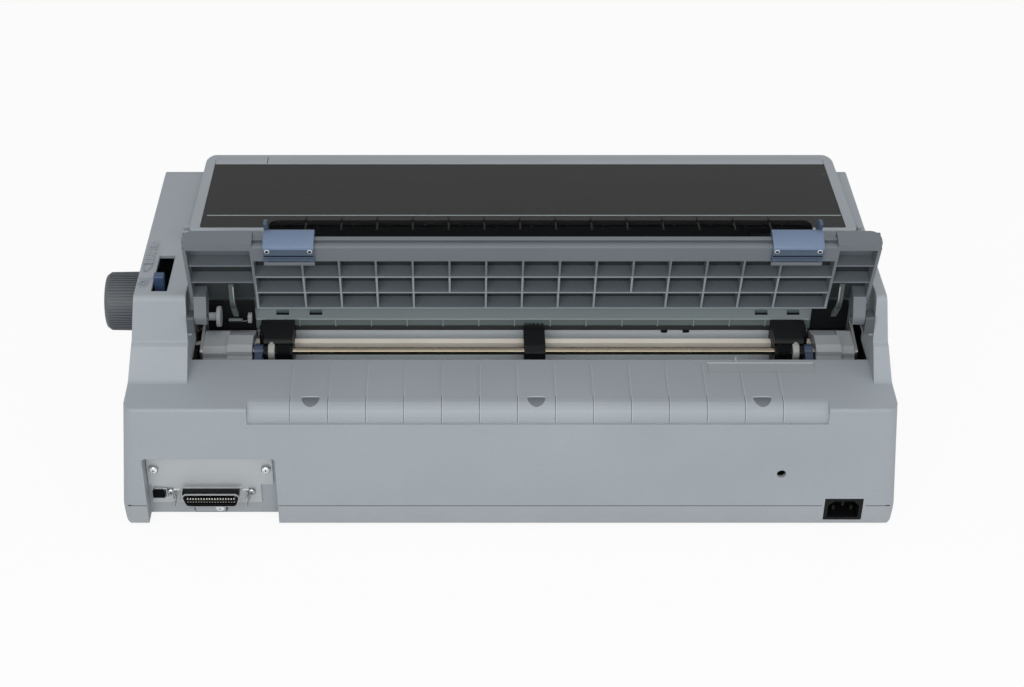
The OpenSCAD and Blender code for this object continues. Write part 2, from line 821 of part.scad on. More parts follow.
// An edge guide that clips over the rail; out is the side its fence stands on
module edge_guide(x, out) {
  t = 2;
  g = move_gap;
  top = guide_len - 3 + g;
  color("#64789a")
    guide_frame() {
      difference() {
        along_x(x - edge_w/2, x + edge_w/2, [[rail_s + 3, rib_m - g - t, 1],
            [top + t, rib_m - g - t, 2],
          [top + t, skin_m + skin_t + g + t, 2], [top - 12, skin_m + skin_t + g + t, 0],
          [top - 12, skin_m + skin_t + g, 0], [top, skin_m + skin_t + g, 0], [top, rib_m - g, 0],
          [rail_s + 3, rib_m - g, 0]]);
        for (side = [-1, 1])
          translate([x + side*(edge_w/2 - 2.6), rail_s + 6, 0])
            cylinder(r = 0.9, h = rib_m);
      }
      translate([x + out*(edge_w/2 - 1.25) - 1.25, top - 3, skin_m + skin_t + g + 1])
        rotate([90, 0, 90])
          linear_extrude(2.5)
            intersection() {
              circle(r = 11);
              translate([-9, 0])
                square([20, 12]);
            }
    }
}

edge_x_left = path_x + 186.6;
edge_x_right = path_x - 194;
module edge_guide_left() { edge_guide(edge_x_left, 1); }
module edge_guide_right() { edge_guide(edge_x_right, -1); }

stay_left_x = path_x + 234;
stay_right_x = path_x - 234;

// Two curved spring arms under the guide
module guide_stays() {
  color("#a7a9a8")
    guide_frame()
      for (x = [stay_left_x, stay_right_x])
        translate([x - 2, 0, 0])
          rotate([90, 0, 90])
            linear_extrude(4)
              difference() {
                polygon(rounded([[33, 7, 0], [33, 12.6, 0], [31, 12.6, 0], [10, 6, 18], [-9, 13, 10],
                  [-13, 12, 0], [-9, 10.4, 10], [10, 3.4, 18], [31.2, 9, 0]]));
              }
}

// Stepped blocks that carry the guide's pivots and slide along the tower walls
module guide_brackets() {
  color("#b4b8ba")
    for (side = [-1, 1]) {
      wall_face = side > 0 ? well_x1 : well_x0;
      cheek = side > 0 ? guide_x1 - 2.5 - leg_w : guide_x0 + 2.5 + leg_w;
      near = side > 0 ? guide_x1 - 2.2 : guide_x0 + 2.2;
      far = wall_face - side*0.3;
      along_x(min(near, far), max(near, far), [[pivot_y - 14, pivot_z - 10, 0],
          [pivot_y + 7, pivot_z - 10, 1],
        [pivot_y + 7, pivot_z + 5, 2], [pivot_y - 5, pivot_z + 5, 2], [pivot_y - 5, pivot_z - 2, 0],
        [pivot_y - 14, pivot_z - 2, 1]]);
      rod_x(min(cheek - side, far), max(cheek - side, far), pivot_y, pivot_z, pivot_r);
    }
}

module bracket_rails() {
  y0 = pivot_y - guide_slide - 16;
  for (side = [-1, 1]) {
    wall_face = side > 0 ? well_x1 : well_x0;
    edge = wall_face - side*3;
    box([min(wall_face + side, edge), y0, pivot_z - 13.3],
        [max(wall_face + side, edge), pivot_y + 4, pivot_z - 10.3]);
  }
}

// ---------------------------------------------------------------- gears and platen
function involute(a) = tan(a)*180/PI - a;

// A spur gear of the common module with a tooth centred on the direction given
module spur(teeth, width, bore, tooth_deg, backlash = 0.12) {
  pitch = gear_m*teeth/2;
  base = pitch*cos(20);
  root = pitch - 1.2*gear_m;
  tip = pitch + 0.95*gear_m;
  half0 = 90/teeth - backlash/pitch*90/PI + involute(20);
  low = max(base, root);
  radii = [low, low + (tip - low)*0.35, low + (tip - low)*0.7, tip];
  function half_at(r) = half0 - (r <= base ? 0 : involute(acos(base/r)));
  flank = [for (r = radii) [r, half_at(r)]];
  linear_extrude(width)
    difference() {
      polygon([for (i = [0:teeth - 1])
        let (mid = tooth_deg + i*360/teeth)
        each concat([root*[cos(mid - half_at(low) - 0.3), sin(mid - half_at(low) - 0.3)]],
          [for (f = flank) f[0]*[cos(mid - f[1]), sin(mid - f[1])]],
          [for (k = [len(flank) - 1:-1:0]) flank[k][0]*[cos(mid + flank[k][1]),
              sin(mid + flank[k][1])]],
          [root*[cos(mid + half_at(low) + 0.3), sin(mid + half_at(low) + 0.3)]])]);
      if (bore > 0) circle(r = bore);
    }
}

// Turns a gear's plane upright: its x becomes +Y and its y becomes +Z
module gear_place(y, z, x = gear_x) {
  translate([x, y, z])
    rotate([90, 0, 90])
      children();
}

module platen() {
  x0 = path_x - platen_len/2;
  color("#2b2c2e")
    rod_x(x0, x0 + platen_len, platen_y, platen_z, platen_r);
  color("#b9bbbd")
    rod_x(plate_x0 - 4, knob_x1 - 6, platen_y, platen_z, platen_shaft_r);
}

flute_d = 0.9;
flute_w = 1.3;
module platen_knob() {
  color("#6b6f73")
    translate([knob_x0, platen_y, platen_z])
      rotate([90, 0, 90])
        difference() {
          rotate_extrude()
            polygon([[0, 0], [knob_r - 1, 0], [knob_r, 1.5], [knob_r - 0.4, knob_len - 3],
              [knob_r - 2.6, knob_len], [0, knob_len]]);
          for (i = [0:knob_flutes - 1])
            rotate([0, 0, i*360/knob_flutes])
              translate([knob_r - flute_d, -flute_w/2, -1])
                cube([3, flute_w, knob_len + 2]);
          translate([0, 0, -1])
            cylinder(r = platen_shaft_r + seat_gap, h = knob_len - 4);
        }
}

module platen_gear() {
  color("#d8d6cf")
    gear_place(platen_y, platen_z) {
      spur(platen_teeth, gear_w, platen_shaft_r + seat_gap, mesh_deg);
      difference() {
        cylinder(r = 9, h = gear_w + 4);
        translate([0, 0, -1])
          cylinder(r = platen_shaft_r + seat_gap, h = gear_w + 6);
      }
    }
}

module tractor_gear() {
  color("#e4e2da")
    gear_place(drive_y, drive_z)
      spur(tractor_teeth, gear_w, rod_r + seat_gap, mesh_deg + 180 + 180/tractor_teeth);
}

pinion_shaft_r = 2.5;
motor_r = 21;
motor_len = 31;

module feed_pinion() {
  steps = (pinion_deg - mesh_deg)*platen_teeth/360;
  off = steps - floor(steps);
  color("#c9a45c")
    gear_place(pinion_y, pinion_z)
      spur(pinion_teeth, gear_w, 0, pinion_deg + 180 + (off + 0.5)*360/pinion_teeth);
  color("#b9bbbd")
    rod_x(plate_x1 - 12, gear_x + 0.5, pinion_y, pinion_z, pinion_shaft_r);
}

module feed_motor() {
  color("#4a4d50")
    difference() {
      rod_x(plate_x1 - plate_t - motor_len, plate_x1 - plate_t, pinion_y, pinion_z, motor_r);
      rod_x(plate_x1 - 16, plate_x1, pinion_y, pinion_z, pinion_shaft_r + run_gap);
    }
}

// ---------------------------------------------------------------- tractor
unit_z0 = drive_z - 12;
paper_z = drive_z + sprocket_r;
wheel_w = 8;
hub_r = 7;
block_inner_x1 = path_x + unit_reach + 1;
block_inner_x0 = path_x - unit_reach - 1.5;

module tractor_drive_shaft() {
  color("#c9c2b4") {
    box([block_inner_x0 + 0.5, drive_y - square_s/2, drive_z - square_s/2],
      [block_inner_x1 - 0.5, drive_y + square_s/2, drive_z + square_s/2]);
    rod_x(plate_x0 + 4, gear_x + gear_w, drive_y, drive_z, rod_r);
  }
}

module tractor_guide_shaft() {
  color("#d8d2c6")
    rod_x(plate_x0 + plate_t + 6, plate_x1 - plate_t - 6, rod_y, rod_z, rod_r);
}

function block_steps(top, back, front) = [[84, 90, 0], [back + 12, 90, 0], [back + 12, top - 11, 0],
  [back + 6, top - 7, 0], [back + 6, top - 3, 0], [back, top, 0], [front, top, 1],
      [front - 5, top - 4, 1],
  [84, drive_z + 5, 2]];

// The stepped end blocks that carry the two tractor shafts
module tractor_blocks() {
  color("#a9adb0")
    difference() {
      union() {
        along_x(block_inner_x1, block_inner_x1 + 20, block_steps(drive_z + 14, well_rear_y - 25, 104));
        along_x(block_inner_x1 + 20, plate_x1 - plate_t, block_steps(drive_z + 11, well_rear_y - 27,
            94));
        along_x(block_inner_x0 - 20, block_inner_x0, block_steps(drive_z + 14, well_rear_y - 25, 104));
        along_x(plate_x0 + plate_t, block_inner_x0 - 20, block_steps(drive_z + 11, well_rear_y - 27,
            94));
      }
      rod_x(plate_x0 - 10, plate_x1 + 10, drive_y, drive_z, rod_r + run_gap);
      rod_x(plate_x0 - 10, plate_x1 + 10, rod_y, rod_z, rod_r + seat_gap);
    }
}

// One sprocket unit; x is its middle and out the side its lock lever is on
module sprocket_unit(x, out) {
  w = unit_w - 8;
  xm = x - out*4;
  xo = xm + out*w/2;
  color("#1d1e20")
    difference() {
      union() {
        along_x(xm - w/2, xm + w/2, [[drive_y - 11.5, unit_z0, 1], [rod_y + 4, unit_z0 + 2, 2],
          [rod_y + 6.5, rod_z + 2, 3], [rod_y + 1, paper_z - 0.4, 3], [drive_y - 9.5, paper_z - 0.4, 3],
          [drive_y - 11.5, drive_z + 4, 3]]);
        for (y = [flap_y0 - 3.5, flap_y1 + 0.5])
          union() {
            box([min(xo - out, xo + out*flap_lug), y, paper_z - 8],
              [max(xo - out, xo + out*flap_lug), y + 3, paper_z - 1]);
            box([min(xo, xo + out*flap_lug), y, paper_z - 2],
              [max(xo, xo + out*flap_lug), y + 3, flap_pin_z + 1.8]);
          }
        rod_y(xo + out*flap_lug/2, flap_y0 - 2, flap_y1 + 2, flap_pin_z, flap_pin_r);
      }
      rod_x(xm - w, xm + w, drive_y, drive_z, hub_r + run_gap);
      rod_x(xm - w, xm + w, rod_y, rod_z, rod_r + run_gap);
      rod_x(xm - wheel_w/2 - move_gap, xm + wheel_w/2 + move_gap, drive_y, drive_z, sprocket_r + 3.2);
    }
}

module sprocket_wheel(x, out) {
  xm = x - out*4;
  w = unit_w - 8;
  color("#26282a")
    difference() {
      union() {
        rod_x(xm - wheel_w/2, xm + wheel_w/2, drive_y, drive_z, sprocket_r);
        rod_x(xm - w/2, xm + w/2, drive_y, drive_z, hub_r);
        for (i = [0:sprocket_pins - 1])
          translate([xm, drive_y, drive_z])
            rotate([i*360/sprocket_pins + 8, 0, 0])
              translate([0, 0, hub_r + 2])
                cylinder(r = 1.9, h = sprocket_r - hub_r + 0.4);
      }
      box([xm - w, drive_y - square_s/2 - run_gap, drive_z - square_s/2 - run_gap],
        [xm + w, drive_y + square_s/2 + run_gap, drive_z + square_s/2 + run_gap]);
    }
}

flap_pin_r = 1;
flap_pin_z = paper_z + 2.4;
flap_lug = 4;
flap_y0 = drive_y - 6.5;
flap_y1 = drive_y + 7.5;
module sprocket_cover(x, out) {
  w = unit_w - 8;
  xm = x - out*4;
  xo = xm + out*w/2;
  color("#202224")
    difference() {
      union() {
        along_x(xm - w/2, xm + w/2, [[drive_y - 11.5, paper_z + 0.5, 1], [rod_y + 1, paper_z + 0.5, 1],
          [rod_y - 2, paper_z + 4.5, 2], [drive_y - 9.5, paper_z + 5.5, 2]]);
        box([min(xo - out, xo + out*flap_lug), flap_y0, paper_z + 0.5],
          [max(xo - out, xo + out*flap_lug), flap_y1, paper_z + 4.4]);
      }
      box([xm - 4.5, drive_y - 10, paper_z], [xm + 4.5, drive_y + 10, paper_z + 4]);
      for (y = [flap_y0 - 4, flap_y1])
        box([min(xo - out*1.1, xo + out*flap_lug), y, paper_z],
          [max(xo - out*1.1, xo + out*flap_lug), y + 4, flap_pin_z + 2.3]);
      rod_y(xo + out*flap_lug/2, flap_y0 - 4, flap_y1 + 4, flap_pin_z, flap_pin_r + run_gap);
    }
}

// A thumb lever that turns on the round shaft and locks the unit there
module lock_lever(x, out) {
  x0 = out > 0 ? x + unit_w/2 - 7.5 : x - unit_w/2 + 0.5;
  color("#3b5170")
    difference() {
      union() {
        rod_x(x0, x0 + 7, rod_y, rod_z, 5.5);
        along_x(x0 + 0.5, x0 + 6.5, [[rod_y, rod_z - 4, 0], [rod_y + 13, rod_z - 6, 1.5],
            [rod_y + 13, rod_z - 2, 1.5],
          [rod_y, rod_z + 4, 0]]);
      }
      rod_x(x0 - 1, x0 + 8, rod_y, rod_z, rod_r + run_gap);
    }
}

unit_left_x = path_x + unit_reach - unit_w/2;
unit_right_x = path_x - unit_reach + unit_w/2;

module sprocket_unit_left() { sprocket_unit(unit_left_x, 1); }
module sprocket_unit_right() { sprocket_unit(unit_right_x, -1); }
module sprocket_wheel_left() { sprocket_wheel(unit_left_x, 1); }
module sprocket_wheel_right() { sprocket_wheel(unit_right_x, -1); }
module sprocket_cover_left() { sprocket_cover(unit_left_x, 1); }
module sprocket_cover_right() { sprocket_cover(unit_right_x, -1); }
module lock_lever_left() { lock_lever(unit_left_x, 1); }
module lock_lever_right() { lock_lever(unit_right_x, -1); }

// The paper rest in the middle of the two shafts, with a row of small ridges on top
module centre_support() {
  w = 17;
  xm = path_x - 1;
  color("#232527")
    difference() {
      union() {
        along_x(xm - w/2, xm + w/2, [[drive_y - 9, drive_z - 8, 2], [rod_y + 2, drive_z - 6, 3],
          [rod_y + 5.5, rod_z + 1, 3], [rod_y, paper_z - 0.4, 3], [drive_y - 9, paper_z - 0.4, 2]]);
        for (i = [-2:2])
          box([xm + i*3.4 - 0.8, drive_y - 10.5, paper_z - 6],
              [xm + i*3.4 + 0.8, drive_y - 4, paper_z + 0.6]);
      }
      rod_x(xm - w, xm + w, drive_y, drive_z, square_s*0.8);
      rod_x(xm - w, xm + w, rod_y, rod_z, rod_r + run_gap);
    }
}

// ---------------------------------------------------------------- paper chutes
chute_t = 2;
chute_x0 = plate_x0 + plate_t + seat_gap;
chute_x1 = plate_x1 - plate_t - seat_gap;
chute_y = drive_y - 14;
chute_foot = drive_z + 5.5;

// The ribbed wall behind the platen, with its ledge
module paper_chute_upper() {
  top = drive_z + 34;
  back = chute_y - 9.5;
  color("#5d6866")
    difference() {
      union() {
        along_x(chute_x0, chute_x1, [[chute_y, chute_foot, 0], [chute_y, drive_z + 14.4, 1],
          [chute_y - 8.5, drive_z + 19.4, 2], [back, top, 0], [back - chute_t, top, 0],
          [back - chute_t, drive_z + 18, 2], [chute_y - chute_t, drive_z + 13, 1],
          [chute_y - chute_t, chute_foot, 0]]);
        for (i = [0:rib_count - 1])
          translate([path_x + (i - (rib_count - 1)/2)*shelf_rib_pitch - 0.7, chute_y - 0.5,
              drive_z + 8])
            cube([1.4, 1.1, 5.6]);
      }
      for (x = [203, 176, -186, -212])
        box([path_x + x - 5.2, chute_y - 7.5, drive_z + 12],
            [path_x + x + 5.2, chute_y - 3.5, drive_z + 22]);
    }
}

// The plate that leads the paper from the tractor under the platen
module paper_chute_lower() {
  r = platen_r + 2;
  under = [for (k = [0:8]) let (a = -112 + k*8) [platen_y + r*cos(a), platen_z + r*sin(a), 0]];
  below = [for (k = [8:-1:0]) let (a = -112 + k*8)
    [platen_y + (r + chute_t)*cos(a), platen_z + (r + chute_t)*sin(a), 0]];
  color("#7c868c")
    along_x(block_inner_x0, block_inner_x1, concat(under, [[drive_y - 17, drive_z + 2.2, 1],
      [drive_y - 16, drive_z - 4.6, 2], [drive_y - 12.5, drive_z - 16, 3],
          [rod_y + 14, drive_z - 18, 0],
      [rod_y + 14, drive_z - 20, 0], [drive_y - 14.5, drive_z - 18, 3], [drive_y - 18, drive_z - 5, 2],
      [drive_y - 18.6, drive_z, 1]], below));
}

// ---------------------------------------------------------------- frame
carriage_shaft_y = 8;
carriage_shaft_z = 92;
rail_y = -52;
rail_z = 92;
head_z = platen_z;
bushing_r = 7;
plate_foot_z = pan_z + 2;

module side_plate(x) {
  color("#b4b7b9")
    difference() {
      union() {
        along_x(x, x + plate_t, [[-90, plate_foot_z, 0], [100, plate_foot_z, 0], [122, 50, 3],
          [122, 116, 3], [88, 121, 2], [76, 142, 4],
          [roller_y + 9, 146, 6], [roller_y + 5, roller_z + 7, 3], [roller_y - 5, roller_z + 7, 3],
          [30, 142, 3], [18, 128, 2],
          [-66, 128, 3], [-70, 60, 4]]);
        box([x < 0 ? x : x - 4, -86, plate_foot_z],
          [x < 0 ? x + plate_t + 4 : x + plate_t, 96, plate_foot_z + 1.5]);
      }
      rod_x(x - 9, x + 9, platen_y, platen_z, bushing_r + seat_gap);
      rod_x(x - 9, x + 9, drive_y, drive_z, rod_r + 1);
      rod_x(x - 9, x + 9, carriage_shaft_y, carriage_shaft_z, carriage_shaft_r + seat_gap);
      rod_x(x - 9, x + 9, rail_y, rail_z, rail_r + seat_gap);
      rod_x(x - 9, x + 9, pinion_y, pinion_z, pinion_shaft_r + 1);
      rod_x(x - 9, x + 9, roller_y, roller_z, roller_shaft_r + run_gap);
      box([x - 9, -50, 26], [x + 9, 80, 54]);
    }
}

module side_plates() {
  side_plate(plate_x0);
  side_plate(plate_x1 - plate_t);
  color("#b4b7b9")
    rod_x(plate_x1 - 12, plate_x1 - plate_t + 0.5, thick_y, thick_z, 2.5);
}

belt_y = -26;
belt_z = 66;
belt_h = 6;
drive_pulley_x = -250;
idler_pulley_x = 214;
pulley_bore = 2.5;

module chassis_pan() {
  color("#a4a7a8")
    difference() {
      union() {
        box([plate_x0, -140, pan_z], [plate_x1, 100, plate_foot_z]);
        box([plate_x0, -140, pan_z], [plate_x1, -138, pan_z + 14]);
        translate([idler_pulley_x, belt_y, plate_foot_z - 0.5])
          cylinder(r = pulley_bore, h = belt_z + 8 - plate_foot_z);
        translate([idler_pulley_x, belt_y, plate_foot_z - 0.5])
          cylinder(r = 6, h = belt_z - 1.5 - plate_foot_z);
      }
      box([-120, -100, pan_z - 1], [60, -40, pan_z + 3]);
      box([100, 20, pan_z - 1], [220, 80, pan_z + 3]);
    }
}

module platen_bushings() {
  color("#d9d7cf")
    for (x = [plate_x0, plate_x1 - plate_t])
      difference() {
        union() {
          rod_x(x - 2, x + plate_t + 2, platen_y, platen_z, bushing_r);
          rod_x(x < 0 ? x + plate_t : x - 2, x < 0 ? x + plate_t + 2 : x, platen_y, platen_z,
              bushing_r + 3);
        }
        rod_x(x - 5, x + plate_t + 5, platen_y, platen_z, platen_shaft_r + run_gap);
      }
}

module carriage_rods() {
  color("#c8cacb") {
    rod_x(plate_x0 - 2, plate_x1 + 2, carriage_shaft_y, carriage_shaft_z, carriage_shaft_r);
    rod_x(plate_x0 - 2, plate_x1 + 2, rail_y, rail_z, rail_r);
  }
}

carriage_x = -225;
carriage_top = carriage_shaft_z + 12;

module carriage() {
  x0 = carriage_x - carriage_w/2;
  x1 = carriage_x + carriage_w/2;
  inner = belt_y + pulley_r;
  color("#3a3c3f")
    difference() {
      union() {
        along_x(x0, x1, [[carriage_shaft_y - 13, carriage_shaft_z - 11, 3],
            [carriage_shaft_y + 11, carriage_shaft_z - 11, 3],
          [carriage_shaft_y + 11, carriage_top, 2], [carriage_shaft_y - 13, carriage_top, 0]]);
        along_x(x0 + 4, x1 - 4, [[rail_y - 8, rail_z - 8, 3], [rail_y + 8, rail_z - 8, 0],
            [carriage_shaft_y - 12, rail_z - 4, 0],
          [carriage_shaft_y - 12, carriage_top - 4, 0], [rail_y - 8, rail_z + 8, 3]]);
        box([carriage_x - 7, inner - 4, belt_z - 3], [carriage_x + 7, inner + belt_t + 4, rail_z - 3]);
      }
      rod_x(x0 - 1, x1 + 1, carriage_shaft_y, carriage_shaft_z, carriage_shaft_r + run_gap);
      rod_x(x0 - 1, x1 + 1, rail_y, rail_z, rail_r + 2*run_gap);
      box([carriage_x - 8, inner - move_gap, belt_z - 4],
          [carriage_x + 8, inner + belt_t + move_gap, belt_z + belt_h + move_gap]);
    }
}

module print_head() {
  nose_y = platen_y - platen_r - 1;
  color("#8d9093")
    difference() {
      union() {
        box([carriage_x - 19, -9, carriage_top], [carriage_x + 19, 16, carriage_top + 40]);
        box([carriage_x - 14, 16, head_z - 10], [carriage_x + 14, 22, head_z + 12]);
        along_x(carriage_x - 8, carriage_x + 8, [[22, head_z - 9, 0], [nose_y, head_z - 5, 1],
          [nose_y, head_z + 6, 1], [22, head_z + 10, 0]]);
      }
      for (k = [0:5])
        box([carriage_x - 20, -10, carriage_top + 8 + k*5.5],
            [carriage_x + 20, 6, carriage_top + 10.5 + k*5.5]);
    }
}

cartridge_z = 128.3;

module ribbon_cartridge() {
  x0 = plate_x0 - 1;
  x1 = plate_x1 + 1;
  color("#303235")
    difference() {
      union() {
        soft_box([x0, -66, cartridge_z], [x1, -14, cartridge_z + 19], 6);
        box([plate_x0 + 6, -16, cartridge_z - 8], [plate_x0 + 16, 30, cartridge_z + 6]);
        box([plate_x1 - 20, -16, cartridge_z - 6.4], [plate_x1 - 10, 30, cartridge_z + 6]);
        translate([plate_x1 - 40, -40, cartridge_z + 18])
          cylinder(r = 11, h = 8);
      }
      box([x0 + 60, -60, cartridge_z + 17.6], [x1 - 60, -20, cartridge_z + 20]);
    }
}

// A belt that runs round both pulleys
module belt_outline(r) {
  translate([drive_pulley_x, belt_y - r])
    square([idler_pulley_x - drive_pulley_x, 2*r]);
  for (x = [drive_pulley_x, idler_pulley_x])
    translate([x, belt_y])
      circle(r = r);
}

module timing_belt() {
  color("#202020")
    translate([0, 0, belt_z])
      linear_extrude(belt_h)
        difference() {
          belt_outline(pulley_r + belt_t);
          belt_outline(pulley_r);
        }
}

module pulley(x, bore) {
  difference() {
    union() {
      translate([x, belt_y, belt_z - 0.4])
        cylinder(r = pulley_r - 0.3, h = belt_h + 0.8);
      for (z = [belt_z - 1.2, belt_z + belt_h + 0.4])
        translate([x, belt_y, z])
          cylinder(r = pulley_r + 2, h = 0.8);
    }
    translate([x, belt_y, belt_z - 3])
      cylinder(r = bore, h = belt_h + 8);
  }
}

module drive_pulley() {
  color("#c8cacb") {
    pulley(drive_pulley_x, pulley_bore - 1);
    translate([drive_pulley_x, belt_y, motor_top - 10])
      cylinder(r = pulley_bore, h = belt_z + belt_h + 2 - motor_top + 10);
  }
}

module idler_pulley() {
  color("#c8cacb")
    pulley(idler_pulley_x, pulley_bore + run_gap);
}

motor_top = plate_foot_z + 38;
module carriage_motor() {
  color("#4a4d50")
    difference() {
      translate([drive_pulley_x, belt_y, plate_foot_z])
        cylinder(r = motor_r, h = 38);
      translate([drive_pulley_x, belt_y, motor_top - 12])
        cylinder(r = pulley_bore + run_gap, h = 20);
    }
}

// ---------------------------------------------------------------- levers
lever_x0 = 269.2;
lever_x1 = 276.8;
lever_pivot = [105, 112];
lever_pin_r = 3;
lever_top_z = tower_z + 4.5;

module paper_release_lever() {
  color("#3b5170")
    difference() {
      union() {
        rod_x(lever_x0, lever_x1, lever_pivot[0], lever_pivot[1], 8);
        along_x(lever_x0, lever_x1, [[lever_pivot[0] - 5, lever_pivot[1], 0],
            [lever_pivot[0] + 5, lever_pivot[1], 0],
          [119.3, 150, 8], [119.3, lever_top_z, 1.2], [112, lever_top_z, 1.2], [112, 152, 8]]);
      }
      rod_x(lever_x0 - 1, lever_x1 + 1, lever_pivot[0], lever_pivot[1], lever_pin_r + run_gap);
    }
}

thick_y = 0;
thick_z = 119;
module thickness_lever() {
  color("#3b5170")
    difference() {
      union() {
        rod_x(plate_x1 - 8, plate_x1 - 3, thick_y, thick_z, 5);
        along_x(plate_x1 - 8, plate_x1 - 3, [[thick_y - 3, thick_z, 0], [thick_y + 3, thick_z, 0],
          [thick_y + 3.5, 162, 2], [thick_y - 3.5, 162, 2]]);
      }
      rod_x(plate_x1 - 9, plate_x1 - 2, thick_y, thick_z, 2.5 + run_gap);
    }
}

// ---------------------------------------------------------------- electrics
module power_supply() {
  color("#9a8f5c")
    box([35.8 - half_w, rear_y - 89, foot_h + wall], [185.8 - half_w, rear_y - 31, foot_h + wall + 1.6]);
  color("#55585a") {
    box([43.8 - half_w, rear_y - 85, foot_h + wall + 1.6], [105.8 - half_w, rear_y - 41, foot_h + 44]);
    for (x = [120.8, 145.8, 167.8])
      translate([x - half_w, rear_y - 61, foot_h + wall + 1.6])
        cylinder(r = 9, h = 26);
  }
}

board_z = 14;
board_w = 176.3;
board_d = 86;
connector_z = 22.5;
parallel_x = recess_x0 + 53.6;
module main_board() {
  color("#3d6b4a")
    box([recess_x1 - board_w, recess_y - board_d, board_z], [recess_x1 - 2, recess_y - 6, board_z + 1.6]);
  color("#2a2b2d") {
    box([recess_x1 - 156.3, recess_y - 68, board_z + 1.6], [recess_x1 - 128.3, recess_y - 40, board_z + 4]);
    box([recess_x1 - 86.3, recess_y - 76, board_z + 1.6], [recess_x1 - 46.3, recess_y - 62, board_z + 4]);
    box([recess_x1 - 20.3, recess_y - 14, board_z + 1.6], [recess_x1 - 15.8, recess_y - 7, board_z + 10]);
  }
  for (p = [[168.3, 78], [168.3, 14], [6.3, 78]])
    color("#b9bbbd")
      translate([recess_x1 - p[0], recess_y - p[1], foot_h + wall])
        cylinder(r = 3, h = board_z - foot_h - wall);
}

module parallel_outline(w, h) {
  polygon(rounded([[-w/2, h/2, 3], [w/2, h/2, 3], [w/2 - 3.4, -h/2, 3], [-w/2 + 3.4, -h/2, 3]]));
}

module interface_plate() {
  color("#a9abac")
    difference() {
      union() {
        box([recess_x0 + 4, recess_y - panel_plate_t, 33], [recess_x1 - 0.6, recess_y, recess_z - 4]);
        box([panel_hole_x0 - 3, recess_y - panel_plate_t, 14.6], [panel_hole_x1 + 2.5, recess_y, 34]);
        box([recess_x0 + 36.5, recess_y - panel_plate_t, 9.6], [recess_x0 + 60, recess_y, 20]);
        for (x = [recess_x0 + 9, recess_x1 - 6])
          translate([x, recess_y + 1.6, 49])
            rotate([90, 0, 0])
              cylinder(r = 3.4, h = 2);
      }
      translate([parallel_x, recess_y + 1, connector_z])
        rotate([90, 0, 0])
          linear_extrude(4)
            parallel_outline(parallel_w + 0.6, 14);
      box([recess_x1 - 15.4, recess_y - 3, 20.2], [recess_x1 - 5.2, recess_y + 1, 30.2]);
      for (side = [-1, 1])
        translate([parallel_x + side*(parallel_w/2 + 8.4), recess_y + 1, connector_z + 4])
          rotate([90, 0, 0])
            cylinder(r = 2.6, h = 4);
    }
  usb_connector();
}

module usb_connector() {
  color("#b9bbbd")
    difference() {
      box([recess_x1 - 15.1, recess_y - 20, 20.5], [recess_x1 - 5.5, recess_y + 1.5, 29.9]);
      box([recess_x1 - 14.3, recess_y - 8, 21.3], [recess_x1 - 6.3, recess_y + 2, 29.1]);
    }
  color("#202020")
    box([recess_x1 - 12.6, recess_y - 8.5, 24.2], [recess_x1 - 8, recess_y, 26.8]);
}

clip_y = recess_y + 3;
module parallel_connector() {
  color("#b9bbbd")
    translate([parallel_x, recess_y + 8, connector_z])
      rotate([90, 0, 0]) {
        difference() {
          linear_extrude(20)
            parallel_outline(parallel_w, 12.6);
          translate([0, 0, -1])
            linear_extrude(9)
              parallel_outline(parallel_w - 1.4, 11.2);
        }
        translate([-parallel_w/2 + 6, -1.6, 1])
          cube([parallel_w - 12, 3.4, 10]);
      }
  color("#b9bbbd")
    for (side = [-1, 1]) {
      x = parallel_x + side*(parallel_w/2 + 1.4);
      box([min(x, x + side*5), recess_y + 0.1, connector_z - 5],
          [max(x, x + side*5), recess_y + 2, connector_z + 6]);
      translate([parallel_x + side*(parallel_w/2 + 8.4), recess_y + 1.5, connector_z + 4])
        rotate([90, 0, 0])
          cylinder(r = 2.4, h = 6);
    }
  color("#3b3c3e")
    box([parallel_x - parallel_w/2 - 6.4, recess_y + 0.1, connector_z - 5.6],
      [parallel_x + parallel_w/2 + 6.4, recess_y + 1, connector_z + 7]);
}

wire_r = 0.7;
// A wire bail at one end of the parallel connector
module connector_clip(side) {
  x = parallel_x + side*(parallel_w/2 + 5);
  reach = recess_d - 4.6;
  color("#c8cacb") {
    for (dz = [-4, 4])
      translate([x, clip_y, connector_z + dz])
        rotate([-90, 0, 0])
          cylinder(r = wire_r, h = reach);
    for (y = [clip_y, clip_y + reach])
      translate([x, y, connector_z - 4])
        cylinder(r = wire_r, h = 8);
  }
}
module connector_clip_left() { connector_clip(1); }
module connector_clip_right() { connector_clip(-1); }

module power_inlet() {
  w = 24.5;
  h = 16.5;
  color("#1b1c1e")
    translate([inlet_x, rear_y, inlet_z])
      rotate([90, 0, 0])
        difference() {
          union() {
            linear_extrude(3)
              polygon(rounded([[-inlet_w/2, -inlet_h/2, 2], [inlet_w/2, -inlet_h/2, 2],
                [inlet_w/2, inlet_h/2, 2], [-inlet_w/2, inlet_h/2, 2]]));
            translate([-inlet_w/2 + 2, -inlet_h/2 + 1.5, 1])
              cube([inlet_w - 4, inlet_h - 3, 22]);
          }
          translate([0, 0, -1])
            linear_extrude(18)
              polygon([[-w/2, -h/2], [w/2, -h/2], [w/2, h/2 - 4.5], [w/2 - 4.5, h/2], [-w/2 + 4.5, h/2],
                [-w/2, h/2 - 4.5]]);
        }
  color("#b9bbbd")
    for (p = [[-7, -1.5], [0, 2.5], [7, -1.5]])
      translate([inlet_x + p[0] - 1, rear_y - 18, inlet_z + p[1] - 2])
        cube([2, 14, 4]);
}

module in_frame() {
  translate([frame_x, 0, 0])
    children();
}

